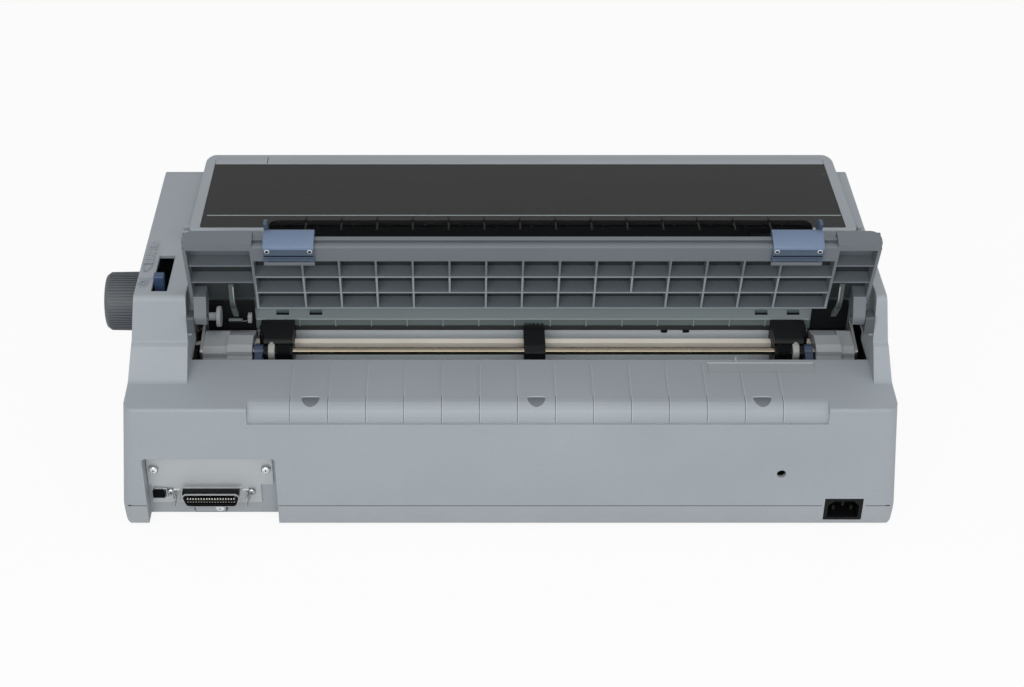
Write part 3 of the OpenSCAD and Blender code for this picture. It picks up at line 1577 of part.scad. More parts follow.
in_frame() upper_case();
in_frame() lower_case();
in_frame() printer_cover();
in_frame() cover_window();
in_frame() exit_strip();
in_frame() front_cover();
in_frame() control_panel();
in_frame() panel_button_1();
in_frame() panel_button_2();
in_frame() panel_button_3();
in_frame() panel_button_4();
in_frame() panel_button_5();
in_frame() power_switch();
in_frame() platen();
in_frame() platen_knob();
in_frame() platen_gear();
in_frame() tractor_gear();
in_frame() feed_motor();
in_frame() feed_pinion();
in_frame() paper_guide();
in_frame() edge_guide_left();
in_frame() edge_guide_right();
in_frame() guide_stays();
in_frame() guide_brackets();
in_frame() tractor_drive_shaft();
in_frame() tractor_guide_shaft();
in_frame() tractor_blocks();
in_frame() sprocket_unit_left();
in_frame() sprocket_unit_right();
in_frame() sprocket_cover_left();
in_frame() sprocket_cover_right();
in_frame() sprocket_wheel_left();
in_frame() sprocket_wheel_right();
in_frame() lock_lever_left();
in_frame() lock_lever_right();
in_frame() centre_support();
in_frame() paper_chute_upper();
in_frame() paper_chute_lower();
in_frame() tension_roller();
in_frame() side_plates();
in_frame() rubber_feet();
in_frame() chassis_pan();
in_frame() platen_bushings();
in_frame() carriage_rods();
in_frame() carriage();
in_frame() print_head();
in_frame() ribbon_cartridge();
in_frame() timing_belt();
in_frame() drive_pulley();
in_frame() idler_pulley();
in_frame() carriage_motor();
in_frame() paper_release_lever();
in_frame() thickness_lever();
in_frame() power_supply();
in_frame() main_board();
in_frame() interface_plate();
in_frame() parallel_connector();
in_frame() connector_clip_left();
in_frame() connector_clip_right();
in_frame() power_inlet();
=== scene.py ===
"""Dresses the dot matrix printer: materials on every CAD node, small fittings, studio, camera."""
import math

import bmesh
import bpy
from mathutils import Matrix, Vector


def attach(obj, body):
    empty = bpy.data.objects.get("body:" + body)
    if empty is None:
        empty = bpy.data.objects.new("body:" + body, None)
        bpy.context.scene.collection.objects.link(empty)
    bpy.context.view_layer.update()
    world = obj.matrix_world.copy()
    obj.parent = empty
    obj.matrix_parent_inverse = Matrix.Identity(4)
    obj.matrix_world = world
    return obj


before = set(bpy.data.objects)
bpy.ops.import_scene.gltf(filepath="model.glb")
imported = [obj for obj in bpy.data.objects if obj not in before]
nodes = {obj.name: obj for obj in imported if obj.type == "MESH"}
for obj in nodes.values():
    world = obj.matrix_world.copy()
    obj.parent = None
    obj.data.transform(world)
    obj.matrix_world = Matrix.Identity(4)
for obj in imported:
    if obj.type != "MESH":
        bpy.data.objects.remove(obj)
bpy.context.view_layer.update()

MM = 0.001
# The case is centred on X = 0 in the drawing; the frame's origin takes in the platen knob
CASE_SHIFT = -11.1617

# Places in the drawing, in millimetres; a pair is Y and Z unless its comment says otherwise
PAPER_MIDDLE = -20.0
RIB_PLACES = [PAPER_MIDDLE + (k - 6.5) * 29.07 for k in range(14)]
POCKET_PLACES = [PAPER_MIDDLE + k * 173.3 for k in (-1, 0, 1)]
REAR_Y = 201.0
SHELF_Z = 117.0
SHELF_RISE, SHELF_RUN = 4.7, 59.0
SHELF_TILT = math.atan2(SHELF_RISE, SHELF_RUN)
LIP_Y, LIP_Z, LIP_RADIUS = 187.6, 106.1, 12.0
PLATEN = (54.6, 118.0)
GUIDE_PIVOT = (140.0, 160.0)
GUIDE_TILT = math.radians(73)
# Middle in X and body of each edge guide, and half its width
SLIDERS = ((166.6, "edge_left"), (-214.0, "edge_right"))
SLIDER_HALF = 19.0
ROUND_SHAFT = (115.51, 111.0)
# Middle in X, outward direction, body and side of each sprocket unit
TRACTORS = ((188.0, 1, "tractor_left", "left"), (-228.0, -1, "tractor_right", "right"))
COVER_REAR = (54.0, 187.2)
COVER_TILT = math.radians(3.2)
PANEL_TILT = math.atan2(114.8, 141.0)
TOWER_TOP = 180.0
MARKS_X = 281.0
RECESS_Y = 188.0
# Interface plate: place in X and side of each screw, and the height of both
PLATE_SCREWS = ((280.3, "left"), (191.7, "right"))
PLATE_SCREW_Z = 49.0
CONNECTOR_X, CONNECTOR_Z = 236.3, 22.5
CONTACTS, CONTACT_PITCH = 18, 2.16
SEAM_Z = 21.8

BACK = (0, 1, 0)
SIDEWAYS = (1, 0, 0)


def at(x, y, z):
    """A point of the drawing as a place in the frame, in metres."""
    return Vector(((x + CASE_SHIFT) * MM, y * MM, z * MM))


# ---------------------------------------------------------------- colours and nodes
def linear(code):
    """An sRGB hex colour as the linear RGBA that a shader takes."""
    parts = [int(code[i:i + 2], 16) / 255 for i in (1, 3, 5)]
    return [p / 12.92 if p <= 0.04045 else ((p + 0.055) / 1.055) ** 2.4 for p in parts] + [1]


def add(tree, kind, inputs=None, **settings):
    """Adds a node; inputs maps a socket's name or number to a value or to the socket that feeds it."""
    made = tree.nodes.new(kind)
    for name, value in settings.items():
        setattr(made, name, value)
    for name, value in (inputs or {}).items():
        if isinstance(value, bpy.types.NodeSocket):
            tree.links.new(value, made.inputs[name])
        else:
            made.inputs[name].default_value = value
    return made


def start(name):
    """A new material: returns it with its tree, its shader and the object position."""
    mat = bpy.data.materials.new(name)
    mat.use_nodes = True
    tree = mat.node_tree
    shader = tree.nodes["Principled BSDF"]
    place = add(tree, "ShaderNodeTexCoord").outputs["Object"]
    return mat, tree, shader, place


def moulded(name, colour, shade, grain_mm=0.9, rough=(0.42, 0.58), dust=0.0, ior=1.53):
    """Injection-moulded plastic: a colour that drifts slightly, with the mould's spark-eroded grain."""
    mat, tree, shader, place = start(name)
    # The tone drifts over about 11 cm. Real grain is near 0.1 mm, so grain_mm draws it coarser, to show
    drift = add(tree, "ShaderNodeTexNoise",
                {"Vector": place, "Scale": 9.0, "Detail": 3.0, "Roughness": 0.55}).outputs["Fac"]
    fleck = add(tree, "ShaderNodeTexNoise",
                {"Vector": place, "Scale": 1 / (grain_mm * MM), "Detail": 2.0}).outputs["Fac"]
    blend = add(tree, "ShaderNodeMath", {0: drift, 1: fleck}, operation="MULTIPLY")
    spread = add(tree, "ShaderNodeMapRange",
                 {"Value": blend.outputs[0], "From Min": 0.12, "From Max": 0.4})
    tint = add(tree, "ShaderNodeMix",
               {0: spread.outputs[0], 6: linear(shade), 7: linear(colour)}, data_type="RGBA")
    out = tint.outputs[2]
    if dust:
        normal = add(tree, "ShaderNodeNewGeometry").outputs["Normal"]
        up = add(tree, "ShaderNodeSeparateXYZ", {0: normal}).outputs["Z"]
        lies = add(tree, "ShaderNodeMapRange", {"Value": up, "From Min": 0.6, "From Max": 1.0})
        patchy = add(tree, "ShaderNodeMath", {0: lies.outputs[0], 1: drift}, operation="MULTIPLY")
        thin = add(tree, "ShaderNodeMath", {0: patchy.outputs[0], 1: dust}, operation="MULTIPLY")
        dusted = add(tree, "ShaderNodeMix",
                     {0: thin.outputs[0], 6: out, 7: linear("#b9bcc0")}, data_type="RGBA")
        out = dusted.outputs[2]
    gloss = add(tree, "ShaderNodeMapRange", {"Value": fleck, "From Min": 0.3, "From Max": 0.7,
                                             "To Min": rough[0], "To Max": rough[1]})
    bump = add(tree, "ShaderNodeBump", {"Height": fleck, "Strength": 0.35, "Distance": 0.05 * MM})
    tree.links.new(out, shader.inputs["Base Color"])
    tree.links.new(gloss.outputs[0], shader.inputs["Roughness"])
    tree.links.new(bump.outputs[0], shader.inputs["Normal"])
    shader.inputs["IOR"].default_value = ior
    return mat


def ground_metal(name, colour, shade, along="X", rough=(0.22, 0.38), metallic=1.0):
    """Bar or sheet with the lines of grinding or rolling, drawn coarser than real so that they show."""
    mat, tree, shader, place = start(name)
    # Real lines are some 0.03 mm apart and are drawn at 0.25 mm; the stain drifts over about 45 mm
    across = 1 / (0.25 * MM)
    run = tuple(3.0 if letter == along else across for letter in "XYZ")
    stretched = add(tree, "ShaderNodeVectorMath", {0: place, 1: run}, operation="MULTIPLY")
    lines = add(tree, "ShaderNodeTexNoise",
                {"Vector": stretched.outputs[0], "Scale": 1.0, "Detail": 2.0}).outputs["Fac"]
    stain = add(tree, "ShaderNodeTexNoise",
                {"Vector": place, "Scale": 22.0, "Detail": 4.0}).outputs["Fac"]
    mixed = add(tree, "ShaderNodeMath", {0: lines, 1: stain}, operation="MULTIPLY")
    spread = add(tree, "ShaderNodeMapRange",
                 {"Value": mixed.outputs[0], "From Min": 0.1, "From Max": 0.42})
    tint = add(tree, "ShaderNodeMix",
               {0: spread.outputs[0], 6: linear(shade), 7: linear(colour)}, data_type="RGBA")
    gloss = add(tree, "ShaderNodeMapRange", {"Value": stain, "From Min": 0.3, "From Max": 0.7,
                                             "To Min": rough[0], "To Max": rough[1]})
    bump = add(tree, "ShaderNodeBump", {"Height": lines, "Strength": 0.25, "Distance": 0.02 * MM})
    tree.links.new(tint.outputs[2], shader.inputs["Base Color"])
    tree.links.new(gloss.outputs[0], shader.inputs["Roughness"])
    tree.links.new(bump.outputs[0], shader.inputs["Normal"])
    shader.inputs["Metallic"].default_value = metallic
    return mat


def smoked_polycarbonate(name, colour, haze):
    """Dark see-through sheet: what is under it shows faintly, and its polish mirrors the studio."""
    mat, tree, shader, place = start(name)
    # Handling leaves smears some 7 cm across, which show only where the sheet mirrors a lamp
    smear = add(tree, "ShaderNodeTexNoise",
                {"Vector": place, "Scale": 14.0, "Detail": 5.0, "Roughness": 0.6}).outputs["Fac"]
    tint = add(tree, "ShaderNodeMix", {0: smear, 6: linear(colour), 7: linear(haze)}, data_type="RGBA")
    tree.links.new(tint.outputs[2], shader.inputs["Base Color"])
    gloss = add(tree, "ShaderNodeMapRange", {"Value": smear, "From Min": 0.3, "From Max": 0.7,
                                             "To Min": 0.1, "To Max": 0.24})
    tree.links.new(gloss.outputs[0], shader.inputs["Roughness"])
    shader.inputs["IOR"].default_value = 1.36
    shader.inputs["Alpha"].default_value = 0.8
    return mat


# ABS case mouldings: mid grey with a faint drift and a fine matt grain, a little dust on what faces up
case_abs = moulded("grey_abs_case", "#9da4aa", "#959ca2", dust=0.04)
base_abs = moulded("grey_abs_base", "#9da3a8", "#959ba0")
# The guide is moulded in a darker, bluer grey; a darker copy paints shade on the floors of its cells and
# a paler copy paints highlights on its rib edges
guide_abs = moulded("blue_grey_abs_guide", "#686f75", "#60676d", grain_mm=0.7)
guide_cell_shade_abs = moulded("blue_grey_abs_guide_floor", "#2a3032", "#23292b", grain_mm=0.7)
guide_rib_highlight_abs = moulded("blue_grey_abs_rib_edge", "#8b9297", "#81888d", grain_mm=0.7)
# The brackets that carry it are painted darker still, as shade, and are as matt
bracket_shade_abs = moulded("dark_grey_abs_bracket", "#4b5256", "#43494d", grain_mm=0.7)
# Slate blue sliders with a finer grain: painted shade darkens the clip, which faces away from the lamps,
# and a painted highlight makes the rolled crown paler
slider_shade_abs = moulded("slate_blue_abs_slider", "#49586c", "#405064", grain_mm=0.6)
crown_highlight_abs = moulded("slate_blue_abs_slider_crown", "#6c7f99", "#61748f", grain_mm=0.6)
# Levers come from a polished mould: dark blue with a soft gloss
lever_abs = moulded("dark_blue_abs_lever", "#3b5170", "#324867", grain_mm=0.6, rough=(0.35, 0.5))
lock_abs = moulded("navy_abs_lock_lever", "#2c3d5c", "#263653", grain_mm=0.6, rough=(0.35, 0.5))
# Charcoal mouldings with the grain of the case
knob_abs = moulded("charcoal_abs_knob", "#5a5e63", "#505459", grain_mm=0.8)
panel_abs = moulded("charcoal_abs_panel", "#70757a", "#686d72")
# Lenses are polished acrylic, so each catches a lamp as one bright point; the keys beside them are matt
lens_acrylic = moulded("green_tinted_acrylic_lens", "#56805c", "#4b7451",
                       grain_mm=0.4, rough=(0.08, 0.15))
button_abs = moulded("pale_grey_abs_button", "#c7cacc", "#bcbfc2", grain_mm=0.5)
# Acetal: waxy, coloured through. Black parts sit in shade, so their IOR is matched below the usual 1.48
black_pom = moulded("black_acetal", "#151618", "#0f1012", grain_mm=0.5, rough=(0.35, 0.5), ior=1.26)
white_pom = moulded("natural_acetal", "#a9aca8", "#9da09c", grain_mm=0.5, rough=(0.3, 0.45), ior=1.48)
# End blocks in plain mid grey ABS
block_abs = moulded("mid_grey_abs_block", "#a0a5a9", "#979ca0", grain_mm=0.6)
# The upper chute is a smooth green grey for the paper; a paler copy paints the highlight along its fold
# and on its ribs
chute_abs = moulded("green_grey_abs_chute", "#6c787a", "#626e70", grain_mm=0.7, rough=(0.3, 0.45))
chute_highlight_abs = moulded("green_grey_abs_rubbed_edge", "#a2adae", "#98a3a4",
                         grain_mm=0.7, rough=(0.3, 0.4))
# Painted light: the lower chute's colour is pushed pale to lift it out of the shade in the well; it is a
# little polished
lower_chute_abs = moulded("pale_grey_abs_chute", "#c3cacf", "#b9c0c5", grain_mm=0.7, rough=(0.3, 0.42))
# Polystyrene cartridge and a glass-filled polyester socket: dark, stiff and rather dull
cartridge_ps = moulded("dark_polystyrene_cartridge", "#35373a", "#2c2e31", grain_mm=0.6)
socket_pbt = moulded("black_pbt_socket", "#121314", "#0d0e0f", grain_mm=0.5, rough=(0.4, 0.55), ior=1.26)
# Rubber swallows light: nearly black and almost without gloss, the platen ground smooth
platen_rubber = moulded("ground_nitrile_rubber", "#2c2d2f", "#232426",
                        grain_mm=0.4, rough=(0.65, 0.8), ior=1.52)
foot_rubber = moulded("black_rubber_foot", "#2a2b2d", "#222325",
                      grain_mm=0.6, rough=(0.7, 0.85), ior=1.52)
belt_rubber = moulded("neoprene_belt", "#222222", "#1a1a1a", grain_mm=0.5, rough=(0.7, 0.8), ior=1.52)
# Boards under green lacquer, through which the glass weave just shows
board_resist = moulded("solder_resist_board", "#2f6647", "#27573c", grain_mm=1.2, rough=(0.25, 0.4))
# Satin black paint on the motor cans
motor_paint = moulded("black_painted_motor", "#45484b", "#3b3e41", grain_mm=0.5, rough=(0.35, 0.5))
# Plated sheet: zinc is dull and bluish, the panel's nickel a soft satin with little mirror left
zinc_sheet = ground_metal("zinc_plated_sheet", "#b9bbbb", "#a3a6a7", rough=(0.34, 0.5))
plate_sheet = ground_metal("nickel_plated_panel", "#c0c4c6", "#b0b5b8", rough=(0.4, 0.52), metallic=0.5)
# Ground steel: long bright lines along the bar
bright_bar = ground_metal("ground_steel_bar", "#c9cbcc", "#b1b4b6", rough=(0.2, 0.32))
# The round shaft carries a film of old oil that mutes its shine
oiled_bar = ground_metal("oiled_round_shaft", "#8d8576", "#7a7264", rough=(0.22, 0.3))
# Blackened steel: dark, with a sheen up its length
stay_steel = ground_metal("blackened_steel_stay", "#5a6262", "#4a5252",
                          along="Z", rough=(0.25, 0.36), metallic=0.7)
# Nickel-plated square bar with a cream tint: its near-white satin colour is a painted reflection,
# standing in for the light its faces would mirror
square_bar = ground_metal("yellowed_nickel_square_bar", "#f4ece0", "#e6ddd0",
                          rough=(0.4, 0.55), metallic=0.15)
# Tin and chromium on small parts: near white, since they mirror the pale room from every side
tinned_contact = ground_metal("tinned_contact_spring", "#f3efe6", "#ded9ce",
                              along="Y", rough=(0.3, 0.4), metallic=0.4)
chromed_screw = ground_metal("chromed_screw", "#f6f8fa", "#e2e6ea", rough=(0.15, 0.25), metallic=0.35)
# ABS at the bottom of gaps and blind holes, which hardly any light reaches: black and without gloss
deep_shadow = moulded("unlit_hole_abs", "#0d0f12", "#08090b", grain_mm=0.5, rough=(0.7, 0.85), ior=1.15)
# Drawn nickel-plated shell, cut brass and a grey, rougher casting
nickel_shell = ground_metal("nickel_plated_shell", "#c2c4c5", "#a9abad", rough=(0.2, 0.34))
brass_gear = ground_metal("hobbed_brass", "#c9a45c", "#b48f49", rough=(0.25, 0.38))
head_casting = ground_metal("die_cast_aluminium_head", "#9a9da0", "#85888b", rough=(0.4, 0.55))
# Smoked window: nearly black, polished on both faces
smoked_window = smoked_polycarbonate("smoked_polycarbonate_window", "#1f1f1f", "#262625")

FINISHES = {
    "upper_case": case_abs, "lower_case": base_abs, "printer_cover": case_abs,
    "cover_window": smoked_window, "exit_strip": smoked_window, "front_cover": case_abs,
    "control_panel": panel_abs, "power_switch": black_pom, "platen": platen_rubber,
    "platen_knob": knob_abs, "platen_gear": white_pom, "tractor_gear": white_pom,
    "feed_motor": motor_paint, "feed_pinion": brass_gear, "paper_guide": guide_abs,
    "edge_guide_left": slider_shade_abs, "edge_guide_right": slider_shade_abs, "guide_stays": stay_steel,
    "guide_brackets": bracket_shade_abs, "tractor_drive_shaft": square_bar,
    "tractor_guide_shaft": oiled_bar, "tractor_blocks": block_abs, "sprocket_unit_left": black_pom,
    "sprocket_unit_right": black_pom, "sprocket_cover_left": black_pom,
    "sprocket_cover_right": black_pom, "sprocket_wheel_left": black_pom,
    "sprocket_wheel_right": black_pom, "lock_lever_left": lock_abs, "lock_lever_right": lock_abs,
    "centre_support": black_pom, "paper_chute_upper": chute_abs,
    "paper_chute_lower": lower_chute_abs, "tension_roller": foot_rubber, "side_plates": zinc_sheet,
    "rubber_feet": foot_rubber, "chassis_pan": zinc_sheet, "platen_bushings": white_pom,
    "carriage_rods": bright_bar, "carriage": black_pom, "print_head": head_casting,
    "ribbon_cartridge": cartridge_ps, "timing_belt": belt_rubber, "drive_pulley": nickel_shell,
    "idler_pulley": nickel_shell, "carriage_motor": motor_paint, "paper_release_lever": lever_abs,
    "thickness_lever": lever_abs, "power_supply": board_resist, "main_board": board_resist,
    "interface_plate": plate_sheet, "parallel_connector": nickel_shell,
    "connector_clip_left": nickel_shell, "connector_clip_right": nickel_shell,
    "power_inlet": socket_pbt,
}
for number in range(1, 6):
    FINISHES["panel_button_%d" % number] = button_abs

for name, obj in nodes.items():
    obj.data.materials.clear()
    obj.data.materials.append(FINISHES[name])
    for face in obj.data.polygons:
        face.material_index = 0


def second_finish(name, mat, where):
    """Gives the faces of a CAD node whose middle passes the test another finish."""
    mesh = nodes[name].data
    mesh.materials.append(mat)
    index = len(mesh.materials) - 1
    for face in mesh.polygons:
        x, y, z = face.center
        if where(x / MM - CASE_SHIFT, y / MM, z / MM):
            face.material_index = index


def radius(y, z, axis_y, axis_z):
    """The distance of a point from an axis along X."""
    return math.hypot(y - axis_y, z - axis_z)


# Bare steel: the platen's journals, the turned ends of the square shaft and the pinion's own shaft
second_finish("platen", bright_bar, lambda x, y, z: radius(y, z, *PLATEN) < 4.4 or not -250.1 < x < 210.1)
second_finish("tractor_drive_shaft", bright_bar, lambda x, y, z: not -245 < x < 204.5)
second_finish("feed_pinion", bright_bar, lambda x, y, z: x < 253.8)


def in_guide(y, z):
    """Distances of a point up the paper guide from its pivot and out from its ribbed side."""
    over, up = y - GUIDE_PIVOT[0], z - GUIDE_PIVOT[1]
    return (over * math.cos(GUIDE_TILT) + up * math.sin(GUIDE_TILT),
            up * math.cos(GUIDE_TILT) - over * math.sin(GUIDE_TILT))


# Painted shade darkens the floors of the guide's cells; a painted highlight makes its rib edges pale
guide_mesh = nodes["paper_guide"].data
guide_mesh.materials.append(guide_cell_shade_abs)
guide_mesh.materials.append(guide_rib_highlight_abs)
for face in guide_mesh.polygons:
    corners = [guide_mesh.vertices[v].co / MM for v in face.vertices]
    placed = [in_guide(c.y, c.z) for c in corners]
    if all(m > 14 and s < 60 for s, m in placed):
        face.material_index = 1
    elif all(abs(m - 7.2) < 0.3 and s < 60 for s, m in placed):
        face.material_index = 2


# ---------------------------------------------------------------- small fittings
def basis(axis):
    """Two directions square to an axis, and the axis itself at unit length."""
    w = Vector(axis).normalized()
    u = w.cross(Vector((0, 0, 1)) if abs(w.z) < 0.9 else Vector((1, 0, 0))).normalized()
    return u, w.cross(u), w


def turned(shape, profile, centre, axis, steps=28):
    """Spins a profile of (distance along the axis, radius) pairs into a closed body of revolution."""
    u, v, w = basis(axis)
    rings = []
    for along, r in profile:
        middle = Vector(centre) + w * along
        if r < 1e-6:
            rings.append([shape.verts.new(middle)])
        else:
            turns = [2 * math.pi * k / steps for k in range(steps)]
            rings.append([shape.verts.new(middle + (u * math.cos(a) + v * math.sin(a)) * r)
                          for a in turns])
    for low, high in zip(rings, rings[1:]):
        for k in range(steps):
            n = k + 1
            corners = [low[k % len(low)], low[n % len(low)], high[n % len(high)], high[k % len(high)]]
            shape.faces.new(list(dict.fromkeys(corners)))
    for ring in (rings[0], rings[-1]):
        if len(ring) > 1:
            shape.faces.new(ring)


def moulding(shape, low, high, edge=0.4, steps=2, turn=None):
    """A block between two corners with its edges rounded; turn places it elsewhere."""
    made = bmesh.ops.create_cube(shape, size=1.0)["verts"]
    low, high = Vector(low), Vector(high)
    for vert in made:
        vert.co = Vector([(low[k] + high[k]) / 2 + vert.co[k] * (high[k] - low[k]) for k in range(3)])
        if turn:
            vert.co = turn(*vert.co)
    edges = list({e for vert in made for e in vert.link_edges})
    bmesh.ops.bevel(shape, geom=edges, offset=edge, segments=steps, profile=0.5, affect="EDGES")


def drawn_wire(shape, path, r, sides=8, closed=False):
    """Wire or a raised line: a round section carried along a path."""
    points = [Vector(p) for p in path]
    count = len(points)
    rings = []
    u = None
    for k, point in enumerate(points):
        ahead = points[(k + 1) % count] if closed or k + 1 < count else point
        behind = points[k - 1] if closed or k else point
        run = (ahead - behind).normalized()
        if u is None:
            u = basis(run)[0]
        u = (u - run * u.dot(run)).normalized()
        v = run.cross(u)
        rings.append([shape.verts.new(point + (u * math.cos(a) + v * math.sin(a)) * r)
                      for a in (2 * math.pi * s / sides for s in range(sides))])
    pairs = list(zip(rings, rings[1:])) + ([(rings[-1], rings[0])] if closed else [])
    for low, high in pairs:
        for s in range(sides):
            shape.faces.new((low[s], low[(s + 1) % sides], high[(s + 1) % sides], high[s]))
    if not closed:
        shape.faces.new(rings[0])
        shape.faces.new(rings[-1])


def plate(shape, outline, depth, lay):
    """A flat outline given a thickness; lay(a, b, h) gives a corner's place."""
    low = [shape.verts.new(lay(a, b, 0)) for a, b in outline]
    high = [shape.verts.new(lay(a, b, depth)) for a, b in outline]
    shape.faces.new(low)
    shape.faces.new(high)
    for k in range(len(outline)):
        n = (k + 1) % len(outline)
        shape.faces.new((low[k], low[n], high[n], high[k]))


def fitted(name, shape, body, finish, crease=35):
    """Turns a shape drawn in millimetres into a piece that rides on a body."""
    for vert in shape.verts:
        vert.co = at(*vert.co)
    bmesh.ops.recalc_face_normals(shape, faces=shape.faces)
    mesh = bpy.data.meshes.new(name)
    shape.to_mesh(mesh)
    shape.free()
    for face in mesh.polygons:
        face.use_smooth = True
    mesh.set_sharp_from_angle(angle=math.radians(crease))
    mesh.materials.append(finish)
    piece = bpy.data.objects.new(name, mesh)
    bpy.context.scene.collection.objects.link(piece)
    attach(piece, body)
    return piece


def cross_outline(arm, half):
    """The outline of a cross: its arms reach to arm and are twice half wide."""
    quarter = [(half, -arm), (half, -half), (arm, -half)]
    outline = []
    for k in range(4):
        c, s = ((1, 0), (0, 1), (-1, 0), (0, -1))[k]
        outline += [(a * c - b * s, a * s + b * c) for a, b in quarter]
    return outline


def screw(name, centre, axis, r, body, finish, washer=0.0):
    """A pan-head screw with its cross recess cut in and painted shade on the recess's floor, on a washer
    where one is given.
    """
    if washer:
        ring = bmesh.new()
        turned(ring, [(0, washer), (0.5, washer), (0.7, washer - 0.2), (0.7, r - 0.2)], centre, axis)
        fitted(name + "_washer", ring, body, finish)
    shape = bmesh.new()
    base = 0.6 if washer else 0.0
    head = [(0, r - 0.15), (0.2, r), (r * 0.3, r * 0.97), (r * 0.5, r * 0.78),
            (r * 0.6, r * 0.4), (r * 0.62, 0)]
    turned(shape, [(base + along, reach) for along, reach in head], centre, axis)
    piece = fitted(name, shape, body, finish)
    u, v, w = basis(axis)
    cutter = bmesh.new()
    floor_of_cut = Vector(centre) + w * (base + r * 0.28)
    plate(cutter, cross_outline(r * 0.5, r * 0.11), r,
          lambda a, b, h: floor_of_cut + u * a + v * b + w * h)
    tool = fitted("recess_tool", cutter, body, finish)
    cut = piece.modifiers.new("recess", "BOOLEAN")
    cut.object, cut.operation, cut.solver = tool, "DIFFERENCE", "EXACT"
    carved = bpy.data.meshes.new_from_object(piece.evaluated_get(bpy.context.evaluated_depsgraph_get()))
    piece.modifiers.clear()
    piece.data = carved
    carved.set_sharp_from_angle(angle=math.radians(35))
    bpy.data.objects.remove(tool)
    # A thin dark cross on the floor of the cut is painted shade
    shade = bmesh.new()
    plate(shade, cross_outline(r * 0.48, r * 0.09), 0.05,
          lambda a, b, h: floor_of_cut + u * a + v * b + w * h)
    fitted(name + "_recess", shade, body, deep_shadow)
    return piece


# Interface plate: two screws on washers hold it to the case, a third its earth tab
for x, label in PLATE_SCREWS:
    screw("plate_screw_" + label, (x, RECESS_Y + 1.5, PLATE_SCREW_Z), BACK, 3.1, "housing", chromed_screw)
screw("earth_tab_screw", (230.6, RECESS_Y + 0.9, 9.9), BACK, 2.6, "housing", chromed_screw, washer=3.4)
# The panel's folded earth tab hangs below the connector in front of the base; as painted shade it takes
# the base's darker grey, and a dark ring of painted shade lies in the gap round it
shape = bmesh.new()
tab = [(225.9, 15.6), (225.9, 6.8), (227.1, 5.6), (249.2, 5.6), (250.4, 6.8), (250.4, 15.6)]
plate(shape, tab, 0.8, lambda a, b, h: Vector((a, RECESS_Y + 0.1 + h, b)))
fitted("earth_tab", shape, "housing", base_abs)
shape = bmesh.new()
around = [(225.1, 16.1), (225.1, 6.4), (226.7, 4.7), (249.6, 4.7), (251.2, 6.4), (251.2, 16.1)]
plate(shape, around, 0.2, lambda a, b, h: Vector((a, RECESS_Y + h, b)))
fitted("earth_tab_joint", shape, "housing", deep_shadow)
shape = bmesh.new()
for x, _ in PLATE_SCREWS:
    turned(shape, [(0, 3.4), (0.4, 3.5), (1.2, 3.4), (1.4, 2.9)], (x, RECESS_Y, PLATE_SCREW_Z), BACK)
fitted("plate_screw_washers", shape, "housing", plate_sheet)
shape = bmesh.new()
for x, _ in PLATE_SCREWS:
    turned(shape, [(0, 3.7), (0.12, 3.7)], (x, RECESS_Y + 1.45, PLATE_SCREW_Z), BACK, 36)
fitted("screw_seat_shadows", shape, "housing", deep_shadow)
# The square socket: a cavity filled with painted shade, with its upper corners cut, and the bright edges
# of its shell
shape = bmesh.new()
cavity = [(273.5, 20.9), (283.0, 20.9), (283.0, 27.6), (281.3, 29.8), (275.2, 29.8), (273.5, 27.6)]
plate(shape, cavity, 0.4, lambda a, b, h: Vector((a, RECESS_Y + 1.5 + h, b)))
fitted("square_socket_cavity", shape, "housing", deep_shadow)
shape = bmesh.new()
for x0, x1, z0, z1 in ((273.6, 282.9, 20.2, 20.8), (275.2, 281.3, 29.9, 30.5)):
    moulding(shape, (x0, RECESS_Y + 0.6, z0), (x1, RECESS_Y + 2.2, z1), 0.2)
fitted("square_socket_rim", shape, "housing", nickel_shell)


def in_socket(a, depth, b):
    """A point of the connector: a across and b up from its middle, depth out from the recess's back."""
    return Vector((CONNECTOR_X + a, RECESS_Y + depth, CONNECTOR_Z + b))


# Parallel connector: black insulator over and inside the shell, two rows of tinned contacts, two posts
shape = bmesh.new()
moulding(shape, (-22.6, 0.1, 5.2), (22.6, 6.4, 6.9), 0.3, turn=in_socket)
moulding(shape, (-22.1, 0.2, 4.9), (22.1, 6.2, 5.5), 0.15, turn=in_socket)
moulding(shape, (-19.6, 0.2, -5.5), (19.6, 6.2, -4.9), 0.15, turn=in_socket)
for side in (-1, 1):
    wall = [(side * 22.6, 5.3), (side * 21.8, 5.3), (side * 18.9, -5.3), (side * 19.7, -5.3)]
    plate(shape, wall, 6.0, lambda a, b, h: in_socket(a, 0.2 + h, b))
moulding(shape, (-18.1, 0.1, -1.9), (18.1, 7.3, 2.1), 0.25, turn=in_socket)
moulding(shape, (-21.5, 0.05, -5), (21.5, 0.6, 5), 0.1, turn=in_socket)
fitted("connector_insulator", shape, "housing", socket_pbt)
shape = bmesh.new()
for k in range(CONTACTS):
    a = (k - (CONTACTS - 1) / 2) * CONTACT_PITCH
    for b0, b1 in ((0.9, 2.1), (-1.9, -1.6)):
        moulding(shape, (a - 0.45, 6.4, b0), (a + 0.45, 7.55, b1), 0.1, turn=in_socket)
fitted("connector_contacts", shape, "housing", tinned_contact)
for side, label in ((1, "left"), (-1, "right")):
    screw("connector_post_" + label, in_socket(side * 32.1, 1.5, 4), BACK, 3.0, "housing", nickel_shell)


def on_guide(x, s, m):
    """A point of the paper guide: s up the guide from its pivot, m out from its ribbed side."""
    return Vector((x, GUIDE_PIVOT[0] + s * math.cos(GUIDE_TILT) - m * math.sin(GUIDE_TILT),
                   GUIDE_PIVOT[1] + s * math.sin(GUIDE_TILT) + m * math.cos(GUIDE_TILT)))
